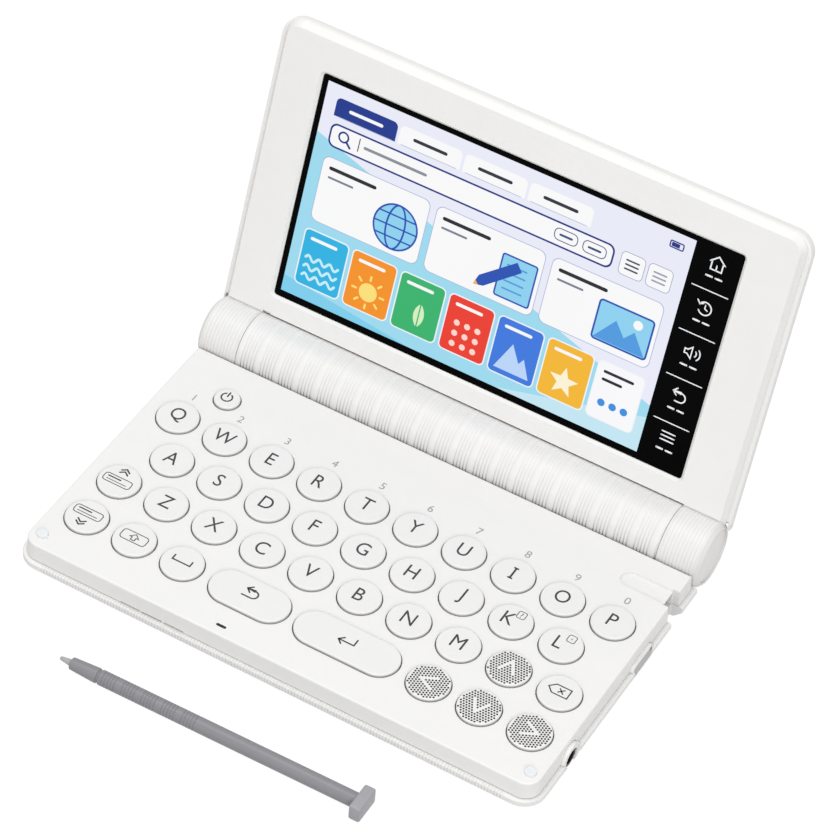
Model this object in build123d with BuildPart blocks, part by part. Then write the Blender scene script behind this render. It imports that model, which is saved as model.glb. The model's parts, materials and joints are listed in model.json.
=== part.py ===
"""Folding electronic dictionary: keyboard case, barrel hinge, display lid and loose stylus.

Millimetres. X runs along the hinge, Y from the front edge towards the hinge and Z up.
The origin is the middle of the flat underside of the case. The lid stands open at rest.
"""

from build123d import *
import math
import os

os.makedirs("parts", exist_ok=True)

# --- Keys --------------------------------------------------------------------------
key_pitch = 14.0
letter_columns = 10
back_key_columns = 0.78
enter_key_columns = 1.26
key_field_offset = 0.26
letter_row_spacing = 13.65
bottom_row_spacing = 14.7
key_radius = 5.55
key_gap = 0.3
key_rise = 0.78
key_edge_round = 0.4
key_flange = 0.55
key_flange_thickness = 0.6
key_flange_gap = 0.2
key_travel = 0.9
key_travel_margin = 0.05
power_key_radius = 3.45
power_key_column = 0.5
power_key_behind_row = 12.46

# --- Keyboard case -----------------------------------------------------------------
deck_side_margin = 9.25
front_row_margin = 14.65
behind_keys = 25.05
deck_top = 9.2
deck_corner = 4.0
deck_edge_round = 0.5
case_wall = 1.2
case_floor = 1.2
seam_height = 4.0
seam_gap = 0.1
wall_flare = 0.3
lip_reach = 1.5
lip_rear_reach = 1.5
lip_corner = 6.2
lip_wall = 2.5
lip_bevel = 2.3
lip_round = 0.5

# --- Barrel hinge ------------------------------------------------------------------
barrel_wall = 1.3
barrel_overhang = 1.2
barrel_bevel = 1.0
barrel_bevel_angle = 45.0
barrel_deck_gap = 0.6
hinge_drop = 0.64
knuckle_gap = 0.3
knuckle_wall = 1.5
knuckle_web = 1.5
shaft_radius = 2.5
shaft_clearance = 0.05
shaft_end_room = 1.8
shaft_reach = 6.0
shaft_flange_radius = 5.0
shaft_flange_thickness = 1.2
end_cap_thickness = 1.1
end_cap_inset = 0.5
end_cap_clearance = 0.05
tongue_end_room = 3.6
tongue_thickness = 2.0
tongue_gap = 0.2
tongue_reach = 6.2

# --- Battery bay -------------------------------------------------------------------
cell_radius = 7.1
cell_clearance = 0.5
cell_length = 50.0
cell_button_radius = 2.7
cell_button_length = 1.2
contact_room = 3.8
contact_radius = 5.0
contact_thickness = 0.5
contact_spring_radius = 4.2
contact_spring_wall = 0.9
contact_gap = 0.1
door_end_room = 1.8
door_above_axis = 1.5
door_below_axis = 7.0
door_gap = 0.15
door_behind_axis = 2.0

# --- Lid ---------------------------------------------------------------------------
lid_open_angle = 107.0
lid_closed_gap = 1.1
lid_side_setback = 0.25
lid_end_setback = 2.6
lid_face_corner = 3.5
lid_seam_depth = 1.75
lid_seam_side_flare = 1.1
lid_seam_end_flare = 1.5
lid_rim_side_flare = 2.4
lid_rim_end_flare = 1.7
lid_rim_front_round = 0.5
lid_rim_back_round = 2.4
lid_thickness = 6.15
lid_plate = 1.2
lid_wall = 1.2
lid_back_wall = 2.2
lid_foot = 6.4
lid_barrel_gap = 0.45
crease_width = 0.35
crease_depth = 0.35
catch_slot_start = -61.75
catch_slot_length = 2.3
catch_slot_reach = 0.9
catch_slot_depth = 0.8

# --- Display -----------------------------------------------------------------------
glass_left_margin = 12.05
glass_right_margin = 13.15
glass_end_margin = 9.4
glass_start = 15.0
glass_corner = 0.9
glass_thickness = 1.0
glass_recess = 0.75
glass_gap = 0.15
window_bevel = 0.7
module_margin = 2.0
module_gap = 0.1

# --- Circuit board, key mat and what sits beside them --------------------------------
mat_side_gap = 1.55
mat_front_gap = 6.05
mat_behind_keys = 9.1
mat_thickness = 0.4
dome_height = 0.35
dome_radius = 3.0
power_dome_radius = 1.6
board_thickness = 0.8
board_margin = 1.0
power_tab_width = 12.0
power_tab_depth = 7.5
board_post_radius = 1.6
board_post_columns = [1, 4.5, 8]
chip_height = 1.4
main_chip_size = 15.0
main_chip_column = 3.2
memory_chip_size = 11.0
memory_chip_columns = [5.5, 6.8]
microphone_x = -16.1
microphone_slot_length = 2.6
microphone_slot_width = 0.7
microphone_from_front = 2.85
microphone_radius = 1.4
microphone_gap = 0.1
microphone_tab_width = 5.0
speaker_x = -33.9
speaker_width = 17.0
speaker_depth = 5.4
speaker_corner = 1.35
speaker_height = 3.0
speaker_gap = 1.4
sound_slot_count = 3
sound_slot_length = 5.5
sound_slot_height = 0.45
sound_slot_pitch = 6.3

# --- Earphone jack, card socket and side cover ---------------------------------------
jack_from_front = 18.0
jack_height = 3.4
jack_bore_radius = 1.8
jack_bore_length = 14.0
jack_back_wall = 1.0
jack_nose_radius = 2.65
jack_nose_clearance = 0.1
jack_nose_inset = 0.4
jack_body_width = 6.2
jack_body_top = 5.4
jack_boss_radius = 4.2
port_reach = 1.2
port_fit = 0.15
cover_from_front = 50.1
cover_length = 8.9
cover_thickness = 1.4
cover_bottom = 1.7
cover_top = 5.1
cover_gap = 0.15
cover_edge_round = 0.2
cover_frame_wall = 0.75
cover_frame_end = 1.0
cover_frame_round = 1.6
nail_hole_radius = 0.55
card_socket_length = 13.5
card_socket_width = 11.0
card_socket_height = 1.8
card_slot_width = 9.6
card_slot_height = 0.8
card_slot_depth = 12.0
socket_wall_gap = 0.5

# --- Stylus store ------------------------------------------------------------------
slot_from_rear = 9.5
slot_gap = 0.4
slot_wall = 0.7
slot_rib_gap = 0.2
slot_end_gap = 1.5
notch_depth = 3.25
notch_length = 6.0
notch_wall = 1.0
scoop_length = 13.1
scoop_width = 5.4
scoop_depth = 0.8

# --- Screws, feet and bumpers --------------------------------------------------------
screw_radius = 1.0
screw_clearance = 0.1
screw_head_radius = 1.8
screw_head_height = 0.5
screw_length = 5.6
screw_recess_depth = 0.6
boss_radius = 1.8
boss_gap = 0.1
boss_hole_clearance = 0.3
side_screw_inset = 4.0
side_screw_y = 1.8
corner_screw_inset = 6.2
rear_screw_inset = 3.2
tongue_screw_x = 30.0
front_screw_x = 50.0
front_screw_inset = 4.6
foot_height = 0.6
foot_radius = 3.0
foot_recess_depth = 0.5
foot_recess_gap = 0.1
front_foot_inset = 12.0
front_foot_from_front = 6.0
rear_foot_x = 44.0
rear_foot_length = 12.0
rear_foot_width = 5.0
rear_foot_gap = 0.02
bumper_radius = 1.5
bumper_height = 0.9
bumper_round = 0.4
bumper_inset = 3.25
bumper_from_front = 4.0

# --- Stylus --------------------------------------------------------------------------
stylus_radius = 2.0
stylus_x = -46.6
stylus_length = 86.2
stylus_from_front = 21.3
stylus_nib_length = 3.3
stylus_nib_radius = 0.5
stylus_nib_base_radius = 0.9
stylus_cone_radius = 1.6
stylus_cone_length = 7.4
stylus_groove_width = 0.5
stylus_groove_depth = 0.35
stylus_groove_gap = 0.4
stylus_head_length = 3.1
stylus_head_width = 8.1
stylus_head_height = 4.8
stylus_head_round = 0.6
stylus_turn = 0.6

# --- Places worked out from the sizes above --------------------------------------------
deck_width = (letter_columns - 1) * key_pitch + 2 * deck_side_margin
deck_depth = front_row_margin + bottom_row_spacing + 2 * letter_row_spacing + behind_keys
deck_front = -deck_depth / 2
deck_rear = deck_depth / 2
deck_half = deck_width / 2
lip_half = deck_half + lip_reach
lip_front = deck_front - lip_reach
inner_half = lip_half - lip_wall
inner_front = lip_front + lip_wall
plate_bottom = deck_top - case_wall
ground = -foot_height
barrel_inner_radius = cell_radius + cell_clearance
barrel_radius = barrel_inner_radius + barrel_wall
hinge_y = deck_rear + barrel_deck_gap + barrel_radius
hinge_z = deck_top - hinge_drop
overlap = 1.0

first_key_x = key_field_offset - (letter_columns - 1) * key_pitch / 2
front_row_y = deck_front + front_row_margin
third_row_y = front_row_y + bottom_row_spacing
second_row_y = third_row_y + letter_row_spacing
first_row_y = second_row_y + letter_row_spacing
row_y = [first_row_y, second_row_y, third_row_y, front_row_y]
power_key_place = (first_key_x + power_key_column * key_pitch, first_row_y + power_key_behind_row)
key_face = deck_top + key_rise
key_flange_top = plate_bottom - key_flange_gap
key_bottom = key_flange_top - key_flange_thickness
mat_bottom = key_bottom - key_travel - key_travel_margin - dome_height - mat_thickness
board_bottom = mat_bottom - board_thickness
mat_front = deck_front + case_wall + mat_front_gap
mat_rear = first_row_y + mat_behind_keys
mat_half = deck_half - case_wall - mat_side_gap

bay_half = cell_length + contact_room
door_half = bay_half - door_end_room
shaft_start = bay_half + shaft_end_room
barrel_half = shaft_start + shaft_reach
barrel_end = deck_half + barrel_overhang
knuckle_start = barrel_half + knuckle_gap / 2
knuckle_length = barrel_end - knuckle_start
knuckle_inner_start = knuckle_start + knuckle_web
tongue_half = barrel_half - tongue_end_room
tongue_bottom = case_floor + tongue_gap
tongue_front = deck_rear - tongue_reach

open_radians = math.radians(lid_open_angle)
lid_normal = (0, -math.sin(open_radians), -math.cos(open_radians))
lid_plane = Plane(origin=(0, hinge_y, hinge_z), x_dir=(1, 0, 0), z_dir=lid_normal)
lid_half = deck_half - lid_side_setback
lid_end = hinge_y - deck_front - lid_end_setback
face_depth = hinge_drop + lid_closed_gap
seam_depth = face_depth + lid_seam_depth
back_depth = face_depth + lid_thickness
glass_left = glass_left_margin - lid_half
glass_right = lid_half - glass_right_margin
glass_end = lid_end - glass_end_margin
crease_start = math.sqrt(barrel_radius**2 - face_depth**2)
glass_back = face_depth + glass_recess + glass_thickness

jack_y = deck_front + jack_from_front
port_face = deck_half + port_reach
jack_mouth = port_face - jack_nose_inset
jack_back = jack_mouth - jack_bore_length - jack_back_wall
socket_face = inner_half - socket_wall_gap
cover_start = deck_front + cover_from_front
cover_end = cover_start + cover_length

slot_y = deck_rear - slot_from_rear
slot_half = stylus_radius + slot_gap
notch_half = notch_length / 2
notch_floor = lip_half - notch_depth
slot_end = lip_half - stylus_length - slot_end_gap
stylus_y = deck_front - stylus_from_front
stylus_z = ground + stylus_radius

foot_x = deck_half - front_foot_inset
foot_y = deck_front + front_foot_from_front
foot_places = [(-foot_x, foot_y), (foot_x, foot_y)]

rear_screw_y = deck_rear - rear_screw_inset
front_screw_y = deck_front + front_screw_inset
side_screws = [(sign * (deck_half - side_screw_inset), side_screw_y) for sign in (-1, 1)]
screw_places = side_screws + [(sign * (deck_half - corner_screw_inset), rear_screw_y) for sign in (-1, 1)]
screw_places += [(sign * tongue_screw_x, rear_screw_y) for sign in (-1, 1)]
screw_places += [(sign * front_screw_x, front_screw_y) for sign in (-1, 1)]

# name, column in key pitches from the first letter, row counted from the back
round_keys = [(name, column, 0) for column, name in enumerate("qwertyuiop")]
round_keys += [(name, column + 0.5, 1) for column, name in enumerate("asdfghjkl")]
round_keys += [(name, column + 1, 2) for column, name in enumerate("zxcvbnm")]
round_keys += [("previous", 0, 2), ("up", 8, 2), ("delete", 9, 2)]
round_keys += [("next", 0, 3), ("shift", 1, 3), ("space", 2, 3)]
round_keys += [("left", 7, 3), ("down", 8, 3), ("right", 9, 3)]
# name and the columns of the two round ends
wide_keys = [("back", 3, 3 + back_key_columns), ("enter", 6 - enter_key_columns, 6)]


def column_x(column):
    return first_key_x + column * key_pitch


key_places = [(column_x(column), row_y[row]) for _, column, row in round_keys]
wide_places = [(column_x((start + end) / 2), front_row_y) for _, start, end in wide_keys]
wide_lengths = [(end - start) * key_pitch for _, start, end in wide_keys]
post_rows = [(first_row_y + second_row_y) / 2, (third_row_y + front_row_y) / 2]
board_posts = [(column_x(column), y) for column in board_post_columns for y in post_rows]


def save(part, name):
    """Labels a finished piece and writes it under its own name."""
    part.label = name
    export_step(part, f"parts/{name}.step")


def across(x):
    """A plane that faces +X at x. Its own axes run along Y and Z."""
    return Plane.YZ.offset(x)


def lid_sheet(depth):
    """A plane across the lid, behind the hinge axis. Its own axes run along X and up the lid."""
    return lid_plane.offset(-depth)


def block(left, right, low, high, mode=Mode.ADD):
    """A rectangle between two corners on the plane of the sketch."""
    with Locations(((left + right) / 2, (low + high) / 2)):
        Rectangle(right - left, high - low, mode=mode)


def disc(radius, mode=Mode.ADD):
    """A circle round the hinge axis, on a plane made by across()."""
    with Locations((hinge_y, hinge_z)):
        Circle(radius, mode=mode)


def key_openings(clearance):
    """The outlines of all the keys, grown by a clearance."""
    with Locations(*key_places):
        Circle(key_radius + clearance)
    with Locations(power_key_place):
        Circle(power_key_radius + clearance)
    for place, length in zip(wide_places, wide_lengths):
        with Locations(place):
            SlotCenterToCenter(length, 2 * (key_radius + clearance))


def cover_frame(clearance):
    """The outline of the frame round the side cover, on a plane made by across()."""
    low = cover_start - cover_frame_end - clearance
    high = cover_end + cover_frame_end + clearance
    top = cover_top + cover_frame_wall + clearance
    with BuildSketch(mode=Mode.PRIVATE) as frame:
        block(low, high, case_floor, top)
        fillet(frame.vertices().group_by(Axis.Y)[-1], cover_frame_round + clearance)
    add(frame.sketch)


def make_deck_cover():
    foot = seam_height + seam_gap
    rise = deck_top - foot
    slope = math.degrees(math.atan(wall_flare / rise))
    boss_bottom = case_floor + boss_gap
    inner_corner = deck_corner - case_wall
    with BuildPart() as cover:
        with BuildSketch(Plane.XY.offset(foot)) as outline:
            flared_half = deck_half + wall_flare
            block(-flared_half, flared_half, deck_front - wall_flare, deck_rear + deck_corner)
            fillet(outline.vertices().group_by(Axis.Y)[0], deck_corner + wall_flare)
        extrude(amount=rise, taper=slope)
        with BuildSketch(Plane.XY.offset(seam_height)):
            block(-deck_width, deck_width, deck_rear, hinge_y)
        extrude(amount=deck_top, mode=Mode.SUBTRACT)
        fillet(cover.faces().sort_by(Axis.Z)[-1].outer_wire().edges(), deck_edge_round)
        with BuildSketch(Plane.XY.offset(seam_height)) as cavity:
            inner = deck_half - case_wall
            block(-inner, inner, deck_front + case_wall, deck_rear - case_wall)
            fillet(cavity.vertices().group_by(Axis.Y)[0], inner_corner)
        extrude(amount=plate_bottom - seam_height, mode=Mode.SUBTRACT)
        # walls round the notch for the stylus head
        with BuildSketch(Plane.XY.offset(foot)):
            reach = notch_half + notch_wall
            block(notch_floor - notch_wall, deck_half - overlap, slot_y - reach, slot_y + reach)
        extrude(amount=plate_bottom - foot)
        with BuildSketch(Plane.XY.offset(seam_height)):
            block(notch_floor, lip_half + overlap, slot_y - notch_half, slot_y + notch_half)
        extrude(amount=deck_top, mode=Mode.SUBTRACT)
        with BuildSketch(across(notch_floor - notch_wall - overlap)):
            block(slot_y - slot_half, slot_y + slot_half, seam_height, plate_bottom)
        extrude(amount=notch_wall + 2 * overlap, mode=Mode.SUBTRACT)
        # shallow scoop that leads a fingertip to the stylus head
        with BuildSketch(Plane.XY.offset(deck_top - scoop_depth)):
            scoop_half = scoop_width / 2
            scoop_start = notch_floor - scoop_length + scoop_half
            with Locations((scoop_start, slot_y)):
                Circle(scoop_half)
            block(scoop_start, lip_half, slot_y - scoop_half, slot_y + scoop_half)
        extrude(amount=scoop_depth + overlap, mode=Mode.SUBTRACT)
        with BuildSketch(Plane.XY.offset(plate_bottom - overlap)):
            key_openings(key_gap)
            with Locations((microphone_x, deck_front + microphone_from_front)):
                SlotOverall(microphone_slot_length, microphone_slot_width)
        extrude(amount=case_wall + 2 * overlap, mode=Mode.SUBTRACT)
        # room for the raised ring round the earphone jack and for the frame round the side cover
        with BuildSketch(across(deck_half - case_wall - overlap)):
            with Locations((jack_y, jack_height)):
                Circle(jack_boss_radius + port_fit)
            cover_frame(port_fit)
        extrude(amount=lip_half, mode=Mode.SUBTRACT)
        # sound slots along the front seam
        with BuildSketch(Plane.XZ.offset(-deck_front - case_wall - overlap)):
            with Locations((speaker_x, foot)):
                with GridLocations(sound_slot_pitch, 0, sound_slot_count, 1):
                    Rectangle(sound_slot_length, 2 * sound_slot_height)
        extrude(amount=case_wall + wall_flare + 2 * overlap, mode=Mode.SUBTRACT)
        with BuildSketch(Plane.XY.offset(boss_bottom)):
            with Locations(*screw_places):
                Circle(boss_radius)
        extrude(amount=plate_bottom - boss_bottom)
        with BuildSketch(Plane.XY.offset(boss_bottom)):
            with Locations(*screw_places):
                Circle(screw_radius)
        extrude(amount=screw_length, mode=Mode.SUBTRACT)
    save(cover.part, "deck_cover")


def make_lower_case():
    rib_top = plate_bottom - slot_rib_gap
    rib_reach = slot_half + slot_wall
    notch_reach = notch_half + notch_wall
    post_foot = case_floor / 2
    with BuildPart() as case:
        with BuildSketch(Plane.XY) as outline:
            block(-lip_half, lip_half, lip_front, deck_rear + lip_rear_reach)
            fillet(outline.vertices().group_by(Axis.Y)[0], lip_corner)
        extrude(amount=seam_height)
        bottom_edges = case.faces().sort_by(Axis.Z)[0].outer_wire().edges()
        chamfer(bottom_edges.sort_by(Axis.Y)[:-1], lip_bevel)
        top_edges = case.faces().sort_by(Axis.Z)[-1].outer_wire().edges()
        fillet(top_edges.sort_by(Axis.Y)[:-1], lip_round)
        with BuildSketch(Plane.XY.offset(case_floor)) as cavity:
            block(-inner_half, inner_half, inner_front, deck_rear - case_wall)
            fillet(cavity.vertices().group_by(Axis.Y)[0], deck_corner)
        extrude(amount=seam_height, mode=Mode.SUBTRACT)
        # passage for the tongue of the barrel through the rear wall
        with BuildSketch(Plane.XZ.offset(-hinge_y)):
            passage_half = tongue_half + tongue_gap
            block(-passage_half, passage_half, case_floor, deck_top)
        extrude(amount=hinge_y - tongue_front, mode=Mode.SUBTRACT)
        # channel for the stylus, and the notch that its head drops into
        with BuildSketch(Plane.XY.offset(post_foot)):
            block(notch_floor - 2 * notch_wall, deck_half, slot_y - notch_reach, slot_y + notch_reach)
        extrude(amount=seam_height - post_foot)
        with BuildSketch(Plane.XY.offset(post_foot)):
            rib_end = notch_floor - notch_wall - slot_rib_gap
            block(slot_end - slot_wall, rib_end, slot_y - rib_reach, slot_y + rib_reach)
        extrude(amount=rib_top - post_foot)
        with BuildSketch(Plane.XY.offset(-overlap)):
            block(notch_floor, lip_half + overlap, slot_y - notch_half, slot_y + notch_half)
        extrude(amount=deck_top, mode=Mode.SUBTRACT)
        with BuildSketch(across(slot_end)):
            block(slot_y - slot_half, slot_y + slot_half, case_floor, deck_top)
        extrude(amount=lip_half - slot_end, mode=Mode.SUBTRACT)
        with BuildSketch(Plane.XY.offset(post_foot)):
            with Locations(*board_posts):
                Circle(board_post_radius)
        extrude(amount=board_bottom - post_foot)
        # raised ring round the earphone jack and frame round the side cover, both level with the case floor
        with BuildSketch(across(inner_half)):
            with Locations((jack_y, jack_height)):
                Circle(jack_boss_radius)
            block(jack_y - lip_half, jack_y + lip_half, -lip_half, case_floor, mode=Mode.SUBTRACT)
            cover_frame(0)
        extrude(amount=port_face - inner_half)
        with BuildSketch(across(port_face)):
            with Locations((jack_y, jack_height)):
                Circle(jack_boss_radius)
        extrude(amount=lip_half, mode=Mode.SUBTRACT)
        with BuildSketch(across(inner_half - overlap)):
            with Locations((jack_y, jack_height)):
                Circle(jack_nose_radius + jack_nose_clearance)
        extrude(amount=lip_half, mode=Mode.SUBTRACT)
        # pocket of the side cover, and the nail hole at its rear top corner
        with BuildSketch(across(inner_half - overlap)):
            block(
                cover_start - cover_gap,
                cover_end + cover_gap,
                cover_bottom - cover_gap,
                cover_top + cover_gap,
            )
            with Locations((cover_end, cover_top)):
                Circle(nail_hole_radius)
        extrude(amount=lip_half, mode=Mode.SUBTRACT)
        with BuildSketch(Plane.XY.offset(-overlap)):
            with Locations(*screw_places):
                Circle(screw_radius + screw_clearance)
        extrude(amount=case_floor + 2 * overlap, mode=Mode.SUBTRACT)
        with BuildSketch(Plane.XY):
            with Locations(*screw_places):
                Circle(screw_head_radius + screw_clearance)
        extrude(amount=screw_recess_depth, mode=Mode.SUBTRACT)
        with BuildSketch(Plane.XY):
            with Locations(*foot_places):
                Circle(foot_radius + foot_recess_gap)
        extrude(amount=foot_recess_depth, mode=Mode.SUBTRACT)
    save(case.part, "lower_case")


def make_barrel():
    with BuildPart() as barrel:
        with BuildSketch(across(-barrel_half)):
            disc(barrel_radius)
        extrude(amount=2 * barrel_half)
        with BuildSketch(Plane.XY.offset(tongue_bottom)):
            block(-tongue_half, tongue_half, tongue_front, hinge_y)
        extrude(amount=tongue_thickness)
        with BuildSketch(across(-bay_half)):
            disc(barrel_inner_radius)
        extrude(amount=2 * bay_half, mode=Mode.SUBTRACT)
        with BuildSketch(across(-barrel_half - overlap)):
            disc(shaft_radius + shaft_clearance)
        extrude(amount=2 * (barrel_half + overlap), mode=Mode.SUBTRACT)
        with BuildSketch(across(-door_half)):
            door_edge = hinge_y + door_behind_axis
            block(
                door_edge,
                hinge_y + 2 * barrel_radius,
                hinge_z - door_below_axis,
                hinge_z + door_above_axis,
            )
        extrude(amount=2 * door_half, mode=Mode.SUBTRACT)
        with BuildSketch(Plane.XY.offset(tongue_bottom - overlap)):
            with Locations((-tongue_screw_x, rear_screw_y), (tongue_screw_x, rear_screw_y)):
                Circle(boss_radius + boss_hole_clearance)
        extrude(amount=tongue_thickness + 2 * overlap, mode=Mode.SUBTRACT)
    save(barrel.part, "hinge_barrel")


def make_battery_door():
    low = hinge_z - door_below_axis + door_gap
    high = hinge_z + door_above_axis - door_gap
    edge = hinge_y + door_behind_axis + door_gap
    with BuildPart() as door:
        with BuildSketch(across(-door_half + door_gap)):
            disc(barrel_radius)
            disc(barrel_inner_radius, mode=Mode.SUBTRACT)
            block(edge, hinge_y + 2 * barrel_radius, low, high, mode=Mode.INTERSECT)
        extrude(amount=2 * (door_half - door_gap))
    save(door.part, "battery_door")


def make_battery_cells():
    body_length = cell_length - cell_button_length
    with BuildPart() as cells:
        for start in (-cell_length, 0):
            with BuildSketch(across(start)):
                disc(cell_radius)
            extrude(amount=body_length)
            with BuildSketch(across(start + body_length)):
                disc(cell_button_radius)
            extrude(amount=cell_button_length - contact_gap)
    save(cells.part, "battery_cells")


def make_battery_contacts():
    spring_length = contact_room - contact_thickness - contact_gap
    with BuildPart() as contacts:
        for side in (-1, 1):
            with BuildSketch(across(side * bay_half)):
                disc(contact_radius)
                disc(shaft_radius + shaft_clearance, mode=Mode.SUBTRACT)
            extrude(amount=-side * contact_thickness)
            with BuildSketch(across(side * (bay_half - contact_thickness))):
                disc(contact_spring_radius)
                disc(contact_spring_radius - contact_spring_wall, mode=Mode.SUBTRACT)
            extrude(amount=-side * spring_length)
    save(contacts.part, "battery_contacts")


def make_hinge_shafts():
    flange_end = knuckle_inner_start + shaft_flange_thickness
    with BuildPart() as shafts:
        for side in (-1, 1):
            with BuildSketch(across(side * shaft_start)):
                disc(shaft_radius)
            extrude(amount=side * (flange_end - shaft_start))
            with BuildSketch(across(side * knuckle_inner_start)):
                disc(shaft_flange_radius)
            extrude(amount=side * shaft_flange_thickness)
    save(shafts.part, "hinge_shafts")


def make_end_caps():
    outer = barrel_end - end_cap_inset
    with BuildPart() as caps:
        for side in (-1, 1):
            with BuildSketch(across(side * outer)):
                disc(barrel_radius - knuckle_wall - end_cap_clearance)
            extrude(amount=-side * end_cap_thickness)
    save(caps.part, "hinge_end_caps")


def make_round_key(name, place, radius):
    with BuildPart() as key:
        with BuildSketch(Plane.XY.offset(key_bottom)):
            with Locations(place):
                Circle(radius + key_flange)
        extrude(amount=key_flange_thickness)
        with BuildSketch(Plane.XY.offset(key_flange_top)):
            with Locations(place):
                Circle(radius)
        extrude(amount=key_face - key_flange_top)
        fillet(key.faces().sort_by(Axis.Z)[-1].edges(), key_edge_round)
    save(key.part, f"key_{name}")


def make_wide_key(name, place, length):
    with BuildPart() as key:
        with BuildSketch(Plane.XY.offset(key_bottom)):
            with Locations(place):
                SlotCenterToCenter(length, 2 * (key_radius + key_flange))
        extrude(amount=key_flange_thickness)
        with BuildSketch(Plane.XY.offset(key_flange_top)):
            with Locations(place):
                SlotCenterToCenter(length, 2 * key_radius)
        extrude(amount=key_face - key_flange_top)
        fillet(key.faces().sort_by(Axis.Z)[-1].edges(), key_edge_round)
    save(key.part, f"key_{name}")


def make_keys():
    for (name, _, _), place in zip(round_keys, key_places):
        make_round_key(name, place, key_radius)
    make_round_key("power", power_key_place, power_key_radius)
    for (name, _, _), place, length in zip(wide_keys, wide_places, wide_lengths):
        make_wide_key(name, place, length)


def mat_outline(margin):
    """Outline of the key mat and the board, with the tab under the power key."""
    half = mat_half - margin
    tab_half = power_tab_width / 2 - margin
    tab_x = power_key_place[0]
    rear = mat_rear - margin
    block(-half, half, mat_front + margin, rear)
    block(tab_x - tab_half, tab_x + tab_half, rear - overlap, rear + power_tab_depth)
    room = boss_radius + boss_hole_clearance
    for x, y in side_screws:
        block(x - room, x + 2 * room, y - room, y + room, mode=Mode.SUBTRACT)
        block(x - 2 * room, x + room, y - room, y + room, mode=Mode.SUBTRACT)


def make_key_mat():
    with BuildPart() as mat:
        with BuildSketch(Plane.XY.offset(mat_bottom)):
            mat_outline(0)
        extrude(amount=mat_thickness)
        with BuildSketch(Plane.XY.offset(mat_bottom + mat_thickness)):
            with Locations(*key_places, *wide_places):
                Circle(dome_radius)
            with Locations(power_key_place):
                Circle(power_dome_radius)
        extrude(amount=dome_height)
    save(mat.part, "key_mat")


def make_circuit_board():
    jack_half = jack_body_width / 2 + board_margin
    microphone_y = deck_front + case_wall + microphone_gap + microphone_radius
    tab_half = microphone_tab_width / 2
    with BuildPart() as board:
        with BuildSketch(Plane.XY.offset(board_bottom)):
            mat_outline(board_margin)
            block(
                jack_back - board_margin,
                lip_half,
                jack_y - jack_half,
                jack_y + jack_half,
                mode=Mode.SUBTRACT,
            )
            block(
                microphone_x - tab_half,
                microphone_x + tab_half,
                microphone_y,
                mat_front + 2 * board_margin,
            )
        extrude(amount=board_thickness)
        with BuildSketch(Plane.XY.offset(board_bottom)):
            with Locations((column_x(main_chip_column), second_row_y - key_radius)):
                Rectangle(main_chip_size, main_chip_size)
            with Locations(*[(column_x(column), third_row_y) for column in memory_chip_columns]):
                Rectangle(memory_chip_size, memory_chip_size)
        extrude(amount=-chip_height)
        # microphone capsule, right under its slot in the deck
        with BuildSketch(Plane.XY.offset(mat_bottom)):
            with Locations((microphone_x, microphone_y)):
                Circle(microphone_radius)
        extrude(amount=plate_bottom - microphone_gap - mat_bottom)
    save(board.part, "circuit_board")


def make_speaker():
    near = inner_front + speaker_gap
    left = speaker_x - speaker_width / 2
    with BuildPart() as speaker:
        with BuildSketch(Plane.XY.offset(case_floor)) as frame:
            block(left, left + speaker_width, near, near + speaker_depth)
            fillet(frame.vertices(), speaker_corner)
        extrude(amount=speaker_height)
    save(speaker.part, "speaker")


def make_earphone_jack():
    half = jack_body_width / 2
    with BuildPart() as jack:
        with BuildSketch(Plane.XY.offset(case_floor)):
            block(jack_back, socket_face, jack_y - half, jack_y + half)
        extrude(amount=jack_body_top - case_floor)
        with BuildSketch(across(socket_face)):
            with Locations((jack_y, jack_height)):
                Circle(jack_nose_radius)
        extrude(amount=jack_mouth - socket_face)
        with BuildSketch(across(jack_mouth - jack_bore_length)):
            with Locations((jack_y, jack_height)):
                Circle(jack_bore_radius)
        extrude(amount=jack_bore_length + overlap, mode=Mode.SUBTRACT)
    save(jack.part, "earphone_jack")


def make_card_socket():
    middle = (cover_start + cover_end) / 2
    with BuildPart() as socket:
        with BuildSketch(Plane.XY.offset(case_floor)):
            half = card_socket_width / 2
            block(socket_face - card_socket_length, socket_face, middle - half, middle + half)
        extrude(amount=card_socket_height)
        with BuildSketch(across(socket_face - card_slot_depth)):
            with Locations((middle, case_floor + card_socket_height / 2)):
                Rectangle(card_slot_width, card_slot_height)
        extrude(amount=card_slot_depth + overlap, mode=Mode.SUBTRACT)
    save(socket.part, "card_socket")


def make_side_cover():
    with BuildPart() as flap:
        with BuildSketch(across(port_face - cover_thickness)):
            block(cover_start, cover_end, cover_bottom, cover_top)
        extrude(amount=cover_thickness)
        fillet(flap.faces().sort_by(Axis.X)[-1].edges(), cover_edge_round)
    save(flap.part, "side_port_cover")


def make_feet():
    with BuildPart() as feet:
        with BuildSketch(Plane.XY.offset(ground)):
            with Locations(*foot_places):
                Circle(foot_radius)
        extrude(amount=foot_height + foot_recess_depth)
        with BuildSketch(Plane.XY.offset(ground)):
            with Locations((-rear_foot_x, hinge_y), (rear_foot_x, hinge_y)):
                Rectangle(rear_foot_length, rear_foot_width)
        extrude(amount=barrel_radius / 2)
        with BuildSketch(across(-barrel_half)):
            disc(barrel_radius + rear_foot_gap)
        extrude(amount=2 * barrel_half, mode=Mode.SUBTRACT)
    save(feet.part, "rubber_feet")


def make_bumpers():
    x = deck_half - bumper_inset
    y = deck_front + bumper_from_front
    with BuildPart() as bumpers:
        with BuildSketch(Plane.XY.offset(deck_top)):
            with Locations((key_field_offset - x, y), (key_field_offset + x, y)):
                Circle(bumper_radius)
        extrude(amount=bumper_height)
        fillet(bumpers.edges().group_by(Axis.Z)[-1], bumper_round)
    save(bumpers.part, "deck_bumpers")


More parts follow.
